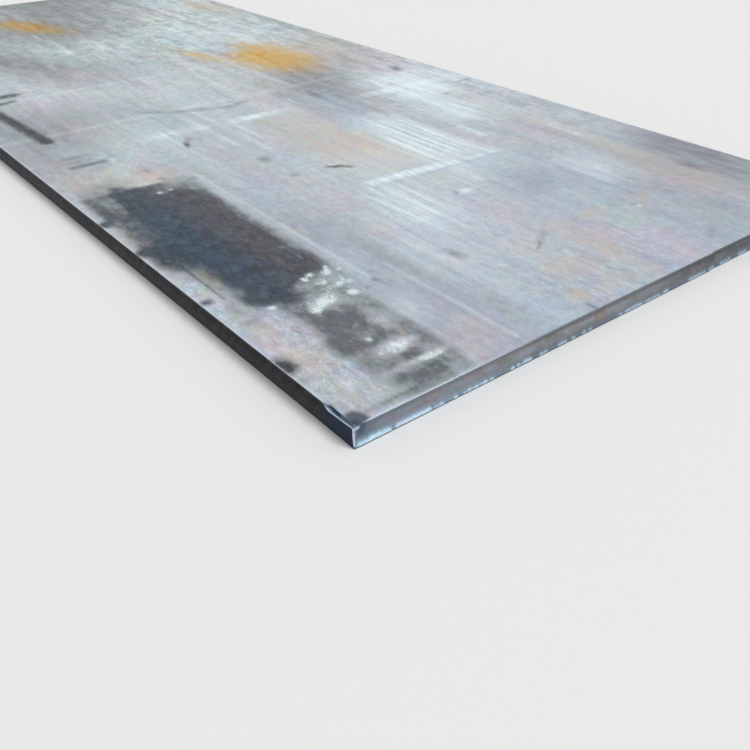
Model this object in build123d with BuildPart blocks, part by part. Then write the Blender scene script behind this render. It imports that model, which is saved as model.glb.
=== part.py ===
from build123d import *
import os

# Heavy hot-rolled steel plate, cut to length by flame and lying flat. Millimetres, +Z up.
# The origin is the centre of the underside. +Y runs along the rolled length, and the front
# end faces -Y. The near corner is the left end of the front cut, at -X and -Y.

# Stock size, measured over the cut faces
plate_width = 2500.0
plate_length = 6000.0
plate_thickness = 70.0

# Flame-cut ends. The preheat flame melts the top arris round, and slag that hardens along
# the foot of the cut makes it flare out to a short upright land.
melted_arris_radius = 2.0
slag_foot_height = 14.0
slag_foot_reach = 3.0
slag_land_height = 2.0

# Long sides, trimmed square with a worn top arris
side_arris_radius = 1.5

# Place where the torch was lit again partway along the front cut: a half-round pit through
# the thickness, past which the cut runs a little further in
restart_from_corner = 1570.0
restart_setback = 3.0
restart_pit_radius = 4.0

# Wash beside the near corner, where the flame melted the side's top arris into a sloping
# facet that is deepest where it begins and runs out at the front cut
wash_length = 135.0
wash_entry_length = 25.0
wash_deep_drop = 13.0
wash_deep_inset = 10.0
wash_corner_drop = 8.0
wash_corner_inset = 7.0
wash_feather = 0.3

# Burnt upright edge of the near corner, a narrow facet that faces mostly forward
corner_cut_along_front = 16.0
corner_cut_along_side = 5.0

# Distance that a cutting body stands clear of the faces it cuts, for clean sections
cutter_clearance = 10.0

half_width = plate_width / 2
half_length = plate_length / 2
restart_x = restart_from_corner - half_width


def lengthwise_outline(front_setback: float) -> Curve:
    """Return the outline of the plate cut along its length, with both flame-cut ends.

    Across the page is the plate's +Y and up the page is +Z. front_setback moves the front
    cut inwards, and the back cut stays at the full length.
    """
    front = front_setback - half_length
    face_foot = slag_foot_height
    face_head = plate_thickness - melted_arris_radius
    with BuildLine() as outline:
        Line((front, face_foot), (front, face_head))
        TangentArc(
            (front, face_head),
            (front + melted_arris_radius, plate_thickness),
            tangent=(0, 1),
        )
        Line(
            (front + melted_arris_radius, plate_thickness),
            (half_length - melted_arris_radius, plate_thickness),
        )
        TangentArc(
            (half_length - melted_arris_radius, plate_thickness),
            (half_length, face_head),
            tangent=(1, 0),
        )
        Line((half_length, face_head), (half_length, face_foot))
        TangentArc(
            (half_length, face_foot),
            (half_length + slag_foot_reach, slag_land_height),
            tangent=(0, -1),
        )
        Polyline(
            (half_length + slag_foot_reach, slag_land_height),
            (half_length + slag_foot_reach, 0),
            (front - slag_foot_reach, 0),
            (front - slag_foot_reach, slag_land_height),
        )
        TangentArc(
            (front, face_foot),
            (front - slag_foot_reach, slag_land_height),
            tangent=(0, -1),
        )
    return outline.line


def corner_cutter_outline(inset: float, drop: float) -> Curve:
    """Return the outline of a cutter that takes a sloping facet off a corner at the origin.

    The facet crosses the top face at inset to the right of the corner and the side face at
    drop below it, and the cutter reaches past both faces by the cutter clearance.
    """
    along = Vector(inset, drop).normalized() * cutter_clearance
    with BuildLine() as outline:
        Polyline(
            (inset + along.X, along.Y),
            (-along.X, -drop - along.Y),
            (-cutter_clearance, cutter_clearance),
            close=True,
        )
    return outline.line


os.makedirs("parts", exist_ok=True)

with BuildPart() as steel_plate:
    # Stretch of the front cut from the near corner to the restart
    with BuildSketch(Plane.YZ.offset(-half_width)):
        add(lengthwise_outline(front_setback=0))
        make_face()
    extrude(amount=restart_from_corner)

    # Stretch past the restart, a little further in
    with BuildSketch(Plane.YZ.offset(restart_x)):
        add(lengthwise_outline(front_setback=restart_setback))
        make_face()
    extrude(amount=plate_width - restart_from_corner)

    # Worn arris of both long sides, which also runs down the upright corners
    side_edges = steel_plate.edges().filter_by(Axis.Y).group_by(Axis.Z)[-1]
    fillet(side_edges, radius=side_arris_radius)

    # Pit of the restart
    with BuildSketch(Plane.XY):
        with Locations((restart_x, -half_length)):
            Circle(restart_pit_radius)
    extrude(amount=plate_thickness, mode=Mode.SUBTRACT)

    # Wash along the side's top arris: from nothing to its deepest, then out at the corner
    wash_stations = (
        (wash_length, wash_feather, wash_feather),
        (wash_length - wash_entry_length, wash_deep_inset, wash_deep_drop),
        (0, wash_corner_inset, wash_corner_drop),
        (-cutter_clearance, wash_corner_inset, wash_corner_drop),
    )
    for distance, inset, drop in wash_stations:
        station = Plane(
            origin=(-half_width, distance - half_length, plate_thickness),
            x_dir=(1, 0, 0),
            z_dir=(0, -1, 0),
        )
        with BuildSketch(station):
            add(corner_cutter_outline(inset, drop))
            make_face()
    loft(ruled=True, mode=Mode.SUBTRACT)

    # Burnt upright edge of the near corner
    corner = Plane(origin=(-half_width, -half_length, 0), x_dir=(1, 0, 0), z_dir=(0, 0, -1))
    with BuildSketch(corner):
        add(corner_cutter_outline(corner_cut_along_front, corner_cut_along_side))
        make_face()
    extrude(amount=-plate_thickness, mode=Mode.SUBTRACT)

steel_plate.part.label = "steel_plate"
export_step(steel_plate.part, "parts/steel_plate.step")
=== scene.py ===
"""Heavy flame-cut steel plate, lying flat in a plain pale studio.

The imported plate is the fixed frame. One closed skin stands for it: a face grid, a worn arris and
four sides whose relief is worked out with numpy. Marks on the face are soft shapes, placed from
the near corner and written to the mesh as attributes, and the finishes break their edges up with
noise.
"""
import logging
import math
from dataclasses import dataclass, field
from enum import Enum
from functools import cached_property
from typing import Any, Callable, Dict, List, Optional, Sequence, Tuple, Union

import bpy
import numpy as np
from mathutils import Matrix, Vector


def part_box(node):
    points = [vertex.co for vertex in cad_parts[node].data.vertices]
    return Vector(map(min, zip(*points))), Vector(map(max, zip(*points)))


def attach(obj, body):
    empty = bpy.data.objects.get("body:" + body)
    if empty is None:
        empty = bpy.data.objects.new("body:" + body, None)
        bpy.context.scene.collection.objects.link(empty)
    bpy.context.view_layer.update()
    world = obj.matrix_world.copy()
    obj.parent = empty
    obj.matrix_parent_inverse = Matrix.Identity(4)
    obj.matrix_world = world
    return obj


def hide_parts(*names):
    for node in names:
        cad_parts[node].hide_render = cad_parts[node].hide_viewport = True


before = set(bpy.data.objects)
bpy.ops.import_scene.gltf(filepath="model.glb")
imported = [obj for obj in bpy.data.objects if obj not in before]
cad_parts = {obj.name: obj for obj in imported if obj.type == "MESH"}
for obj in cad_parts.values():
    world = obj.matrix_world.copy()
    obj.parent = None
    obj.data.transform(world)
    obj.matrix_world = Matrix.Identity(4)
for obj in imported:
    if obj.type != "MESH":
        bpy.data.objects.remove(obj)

LOG = logging.getLogger("steel_plate")
PLATE_NODE = "steel_plate"
BODY = "root"
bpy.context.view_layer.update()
# How close two places are that count as the same
TOUCH = 1e-9

Colour = Tuple[float, float, float, float]
Span = Tuple[float, float]
Point = Tuple[float, float]
Scales = Tuple[float, float, float]


def tone(red: int, green: int, blue: int) -> Colour:
    """Return the linear colour of a shade given as it shows on screen.

    Args:
        red: Red, from 0 to 255.
        green: Green, from 0 to 255.
        blue: Blue, from 0 to 255.

    Returns:
        Red, green, blue and an alpha of 1, in linear light.
    """
    shown = np.array([red, green, blue], float) / 255.0
    linear = np.where(shown <= 0.04045, shown / 12.92, ((shown + 0.055) / 1.055) ** 2.4)
    return (*linear.tolist(), 1.0)


# Shader maths


def maths(operation: str, swapped: bool = False) -> Callable[..., "Signal"]:
    """Return a method of Signal that adds a Math node.

    Args:
        operation: The node's operation.
        swapped: Whether the other number comes first.

    Returns:
        The method, which takes the other number and returns the node's output.
    """

    def method(signal: "Signal", other: "Number" = 0.0) -> "Signal":
        """Return the node's output for a signal and another number."""
        first, second = (other, signal) if swapped else (signal, other)
        return signal.bench.node("ShaderNodeMath", {"operation": operation}, {0: first, 1: second})

    return method


class Signal:
    """A node's output that takes part in sums, so that shader maths reads as Python."""

    def __init__(self, bench: "Bench", socket: bpy.types.NodeSocket) -> None:
        """Hold a socket and the bench that adds nodes for it."""
        self.bench = bench
        self.socket = socket

    __add__ = __radd__ = maths("ADD")
    __mul__ = __rmul__ = maths("MULTIPLY")
    __sub__ = maths("SUBTRACT")
    __rsub__ = maths("SUBTRACT", swapped=True)
    __abs__ = maths("ABSOLUTE")
    most = maths("MAXIMUM")
    least = maths("MINIMUM")

    def step(self, low: float, high: float) -> "Signal":
        """Return a smooth step between two values.

        Args:
            low: Value at which the step starts.
            high: Value at which it ends, below low for a falling step.

        Returns:
            The step, from 0 to 1.
        """
        if low > high:
            return 1.0 - self.step(high, low)
        settings = {"interpolation_type": "SMOOTHSTEP"}
        inputs = {"Value": self, "From Min": low, "From Max": high}
        return self.bench.node("ShaderNodeMapRange", settings, inputs)


Number = Union[float, Signal]
Tint = Union[Colour, Signal]


class Bench:
    """Adds nodes to one material or world and links them."""

    def __init__(self, owner: Union[bpy.types.Material, bpy.types.World]) -> None:
        """Start an empty node tree in its owner.

        Args:
            owner: The material or world.
        """
        owner.use_nodes = True
        self.owner = owner
        self.tree = owner.node_tree
        self.tree.nodes.clear()

    def node(
        self,
        kind: str,
        settings: Dict[str, Any],
        inputs: Dict[Union[int, str], Any],
        output: Union[int, str] = 0,
    ) -> Signal:
        """Add a node, set it up, and link or fill its inputs.

        Args:
            kind: The node's type, such as ShaderNodeMath.
            settings: The node's own options, set first.
            inputs: A value or a Signal for each named or numbered socket.
            output: The output to return.

        Returns:
            The chosen output.
        """
        made = self.tree.nodes.new(kind)
        for option, value in settings.items():
            setattr(made, option, value)
        for key, value in inputs.items():
            if isinstance(value, Signal):
                self.tree.links.new(value.socket, made.inputs[key])
            else:
                made.inputs[key].default_value = value
        return Signal(self, made.outputs[output])

    def close(self, shader: Signal, kind: str) -> None:
        """Lead a shader to the Surface of a new output node of that type."""
        self.tree.links.new(shader.socket, self.tree.nodes.new(kind).inputs["Surface"])

    @cached_property
    def place(self) -> Signal:
        """The surface point in the plate's frame, in metres."""
        return self.node("ShaderNodeTexCoord", {}, {}, "Object")

    def outputs(self, signal: Signal, *keys: Union[int, str]) -> List[Signal]:
        """Return several outputs of the node that a signal comes from."""
        return [Signal(self, signal.socket.node.outputs[key]) for key in keys]

    def axes(self) -> List[Signal]:
        """Return the surface point's x, y and z."""
        return self.outputs(self.node("ShaderNodeSeparateXYZ", {}, {0: self.place}), 0, 1, 2)

    def mark(self, name: Enum) -> Signal:
        """Return the number of that name that the mesh holds at each point."""
        return self.node("ShaderNodeAttribute", {"attribute_name": name.value}, {}, "Fac")

    def vector(self, operation: str, first: Any, second: Any) -> Signal:
        """Add a Vector Math node on two vectors and return its output."""
        return self.node("ShaderNodeVectorMath", {"operation": operation}, {0: first, 1: second})

    def noise(
        self,
        scales: Scales,
        detail: float = 3.0,
        roughness: float = 0.55,
        warp: float = 0.0,
        output: str = "Fac",
        place: Optional[Signal] = None,
    ) -> Signal:
        """Return fractal noise about 0.5, with its own scale along each axis.

        Args:
            scales: Blotches per metre along each axis.
            detail: How many finer layers are added.
            roughness: How strong each finer layer is.
            warp: How far the noise bends itself.
            output: Fac for a number, Color for three.
            place: Where to read the noise, if not at the surface point.

        Returns:
            The noise, mostly from 0.3 to 0.7.
        """
        inputs = {
            "Vector": self.vector("MULTIPLY", place or self.place, scales),
            "Scale": 1.0,
            "Detail": detail,
            "Roughness": roughness,
            "Distortion": warp,
        }
        return self.node("ShaderNodeTexNoise", {}, inputs, output)

    def over(self, colour: Tint, *coats: Tuple[Number, Tint]) -> Signal:
        """Return a colour with others laid over it in turn.

        Args:
            colour: The lowest colour.
            coats: How much of each coat shows, from 0 to 1, and its colour.

        Returns:
            The mixed colour.
        """
        settings = {"data_type": "RGBA", "clamp_factor": True}
        factor, below, above, result = 0, 6, 7, 2
        for share, tint in coats:
            inputs = {factor: share, below: colour, above: tint}
            colour = self.node("ShaderNodeMix", settings, inputs, result)
        return colour

    def tinge(self, colour: Signal, *layers: Tuple[Scales, float]) -> Signal:
        """Return a colour broken up by layers of noise that shift its three parts apart.

        A layer multiplies each part by 1 + strength (noise - 0.5), with noise of its own.

        Args:
            colour: The colour to break up.
            layers: Blotches per metre along each axis, and strength, of each layer.

        Returns:
            The broken colour.
        """
        half, whole = (0.5, 0.5, 0.5), (1.0, 1.0, 1.0)
        for scales, strength in layers:
            noise = self.noise(scales, 2.0, 0.6, output="Color")
            spread = self.lit(self.vector("SUBTRACT", noise, half), strength)
            colour = self.vector("MULTIPLY", colour, self.vector("ADD", spread, whole))
        return colour

    def lit(self, colour: Signal, strength: Number) -> Signal:
        """Return a colour made brighter or darker by a factor."""
        inputs = {0: colour, "Scale": strength}
        return self.node("ShaderNodeVectorMath", {"operation": "SCALE"}, inputs)

    def finish(
        self,
        colour: Tint,
        roughness: Number,
        metallic: Number,
        height: Signal,
        depth: float,
        specular: float = 0.5,
    ) -> bpy.types.Material:
        """Close the material with a Principled shader over a bump.

        Args:
            colour: Base colour.
            roughness: Roughness, from 0 to 1.
            metallic: Metallic share, from 0 to 1.
            height: Height of the fine relief, about 0 to 1.
            depth: What a height of 1 stands for, in metres.
            specular: Strength of the clear reflection, 0.5 for most solids.

        Returns:
            The finished material.
        """
        inputs = {
            "Base Color": colour,
            "Roughness": roughness,
            "Metallic": metallic,
            "Specular IOR Level": specular,
            "Normal": self.node("ShaderNodeBump", {}, {"Height": height, "Distance": depth}),
        }
        shader = self.node("ShaderNodeBsdfPrincipled", {}, inputs)
        self.close(shader, "ShaderNodeOutputMaterial")
        return self.owner


# Marks on the face


class Pigment(Enum):
    """What a mark on the face is made of. Each value names an attribute of the mesh."""

    FILM = "film"
    HAZE = "haze"
    SLATE = "slate"
    SMUDGE = "smudge"
    CHALK = "chalk"
    # Pale polished scale, with painted sky reflection
    FROST_AND_SHEEN = "frost_and_sheen"
    EARTH = "earth"
    RUST = "rust"
    SHADE = "shade"
    GRIT = "grit"
    BURN = "burn"


class Trace(Enum):
    """What the rim carries. Each value names an attribute of the mesh."""

    WORN = "worn_edge"
    WASH = "wash"
    BRIM = "brim"
    SLAG = "slag"


@dataclass(frozen=True)
class Blot:
    """A soft patch on the face, round or nearly square, in metres and degrees."""

    across: float
    along: float
    half_across: float
    half_along: float
    strength: float = 1.0
    soft: float = 0.02
    turn: float = 0.0
    squareness: float = 2.0

    def outside(self, across: np.ndarray, along: np.ndarray) -> np.ndarray:
        """Return how far each point lies outside the patch.

        With u and v the distances from the centre along the patch's own axes, r is
        (|u/a|^n + |v/b|^n)^(1/n), n the squareness. The distance from the outline is about
        (r - 1) times the smaller half size.

        Args:
            across: Distance of each point from the left side.
            along: Distance of each point from the front cut.

        Returns:
            Distance from the outline, negative inside.
        """
        turn, power = math.radians(self.turn), self.squareness
        right, up = across - self.across, along - self.along
        u = np.abs(right * math.cos(turn) + up * math.sin(turn)) / self.half_across
        v = np.abs(up * math.cos(turn) - right * math.sin(turn)) / self.half_along
        reach = (u**power + v**power) ** (1.0 / power)
        return (reach - 1.0) * min(self.half_across, self.half_along)


@dataclass(frozen=True)
class Stroke:
    """A soft line on the face between two points, in metres."""

    start: Point
    end: Point
    half_width: float
    strength: float = 1.0
    soft: float = 0.01

    def outside(self, across: np.ndarray, along: np.ndarray) -> np.ndarray:
        """Return how far each point lies outside the line, by its nearest place on it.

        Args:
            across: Distance of each point from the left side.
            along: Distance of each point from the front cut.

        Returns:
            Distance from the outline, negative inside.
        """
        run, climb = self.end[0] - self.start[0], self.end[1] - self.start[1]
        right, up = across - self.start[0], along - self.start[1]
        share = np.clip((right * run + up * climb) / (run * run + climb * climb), 0.0, 1.0)
        return np.hypot(right - share * run, up - share * climb) - self.half_width


Mark = Union[Blot, Stroke]


def trail(points: Sequence[Point], half_width: float, strength: float, soft: float) -> List[Mark]:
    """Return strokes that join up a row of points.

    Args:
        points: Points in metres from the near corner.
        half_width: Half width of the line.
        strength: Strength of the line.
        soft: Softness of its edge.

    Returns:
        One stroke for each stretch.
    """
    stretches = zip(points[:-1], points[1:])
    return [Stroke(start, end, half_width, strength, soft) for start, end in stretches]


def cover(marks: Sequence[Mark], across: np.ndarray, along: np.ndarray) -> np.ndarray:
    """Return how much of one pigment lies at each point.

    A mark's share falls evenly across its softness each side of its outline. Marks lie over each
    other: what is left bare is the product of what each leaves bare. A mark of negative strength
    then wipes away its share.

    Args:
        marks: The pigment's marks.
        across: Distance of each point from the left side.
        along: Distance of each point from the front cut.

    Returns:
        Share of the pigment, from 0 to 1.
    """
    bare, kept = np.ones_like(across), np.ones_like(across)
    for mark in marks:
        inside = np.clip(0.5 - mark.outside(across, along) / (2.0 * mark.soft), 0.0, 1.0)
        share = mark.strength * inside
        if mark.strength > 0.0:
            bare *= 1.0 - share
        else:
            kept *= 1.0 + share
    return (1.0 - bare) * kept


# Every mark was placed in metres across and along from the near corner.

# Chalk flecks: place across, place along and half size
FLECKS = (
    (0.382, 0.738, 0.011),
    (0.436, 0.718, 0.011),
    (0.382, 0.672, 0.014),
    (0.424, 0.628, 0.009),
    (0.462, 0.624, 0.008),
    (0.484, 0.715, 0.006),
    (0.424, 0.555, 0.018),
    (0.167, 0.628, 0.010),
    (0.284, 0.298, 0.008),
    (0.350, 0.722, 0.010),
    (0.262, 0.528, 0.013),
    (0.320, 1.695, 0.010),
    (0.370, 1.700, 0.008),
)

# Pale lengthwise lines: place across, from, to, half width and strength
FROST_LINES = (
    (1.450, 1.200, 1.620, 0.012, 0.70),
    (1.495, 1.400, 1.750, 0.012, 0.40),
    (1.545, 1.250, 1.950, 0.014, 0.35),
    (1.590, 1.300, 1.860, 0.008, 0.80),
    (1.645, 1.350, 1.850, 0.007, 0.60),
    (1.670, 1.300, 1.650, 0.007, 0.70),
    (1.690, 1.200, 1.900, 0.008, 0.80),
    (1.830, 1.390, 1.560, 0.010, 0.85),
    (1.833, 1.560, 1.750, 0.007, 0.60),
    (1.990, 1.900, 2.400, 0.014, 0.70),
    (2.230, 2.050, 2.500, 0.010, 0.60),
    (2.110, 2.000, 2.450, 0.012, 0.50),
    (2.255, 1.120, 1.700, 0.008, 0.45),
    (2.190, 1.100, 1.300, 0.008, 0.40),
    (0.660, 1.700, 2.350, 0.005, 0.35),
    (0.860, 2.000, 2.500, 0.009, 0.50),
    (0.945, 1.850, 2.550, 0.010, 0.35),
    (1.005, 2.000, 2.400, 0.008, 0.40),
    (0.785, 1.900, 2.250, 0.006, 0.25),
    (0.940, 0.850, 1.150, 0.014, 0.32),
    (1.000, 0.780, 1.200, 0.014, 0.34),
    (1.050, 0.850, 1.170, 0.014, 0.28),
    (1.130, 0.750, 1.150, 0.008, 0.30),
    (1.430, 1.000, 1.180, 0.020, 0.34),
    (1.830, 0.650, 0.950, 0.020, 0.18),
    (1.900, 0.700, 0.980, 0.020, 0.15),
    (0.960, 0.720, 1.100, 0.016, 0.35),
    (0.630, 0.050, 0.650, 0.006, 0.30),
    (0.530, 0.600, 1.800, 0.006, 0.30),
    (2.060, 1.700, 2.100, 0.014, 0.40),
    (1.780, 2.950, 3.500, 0.014, 0.35),
    (1.600, 2.700, 3.900, 0.014, 0.30),
    (1.300, 2.700, 3.400, 0.012, 0.30),
)

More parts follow.
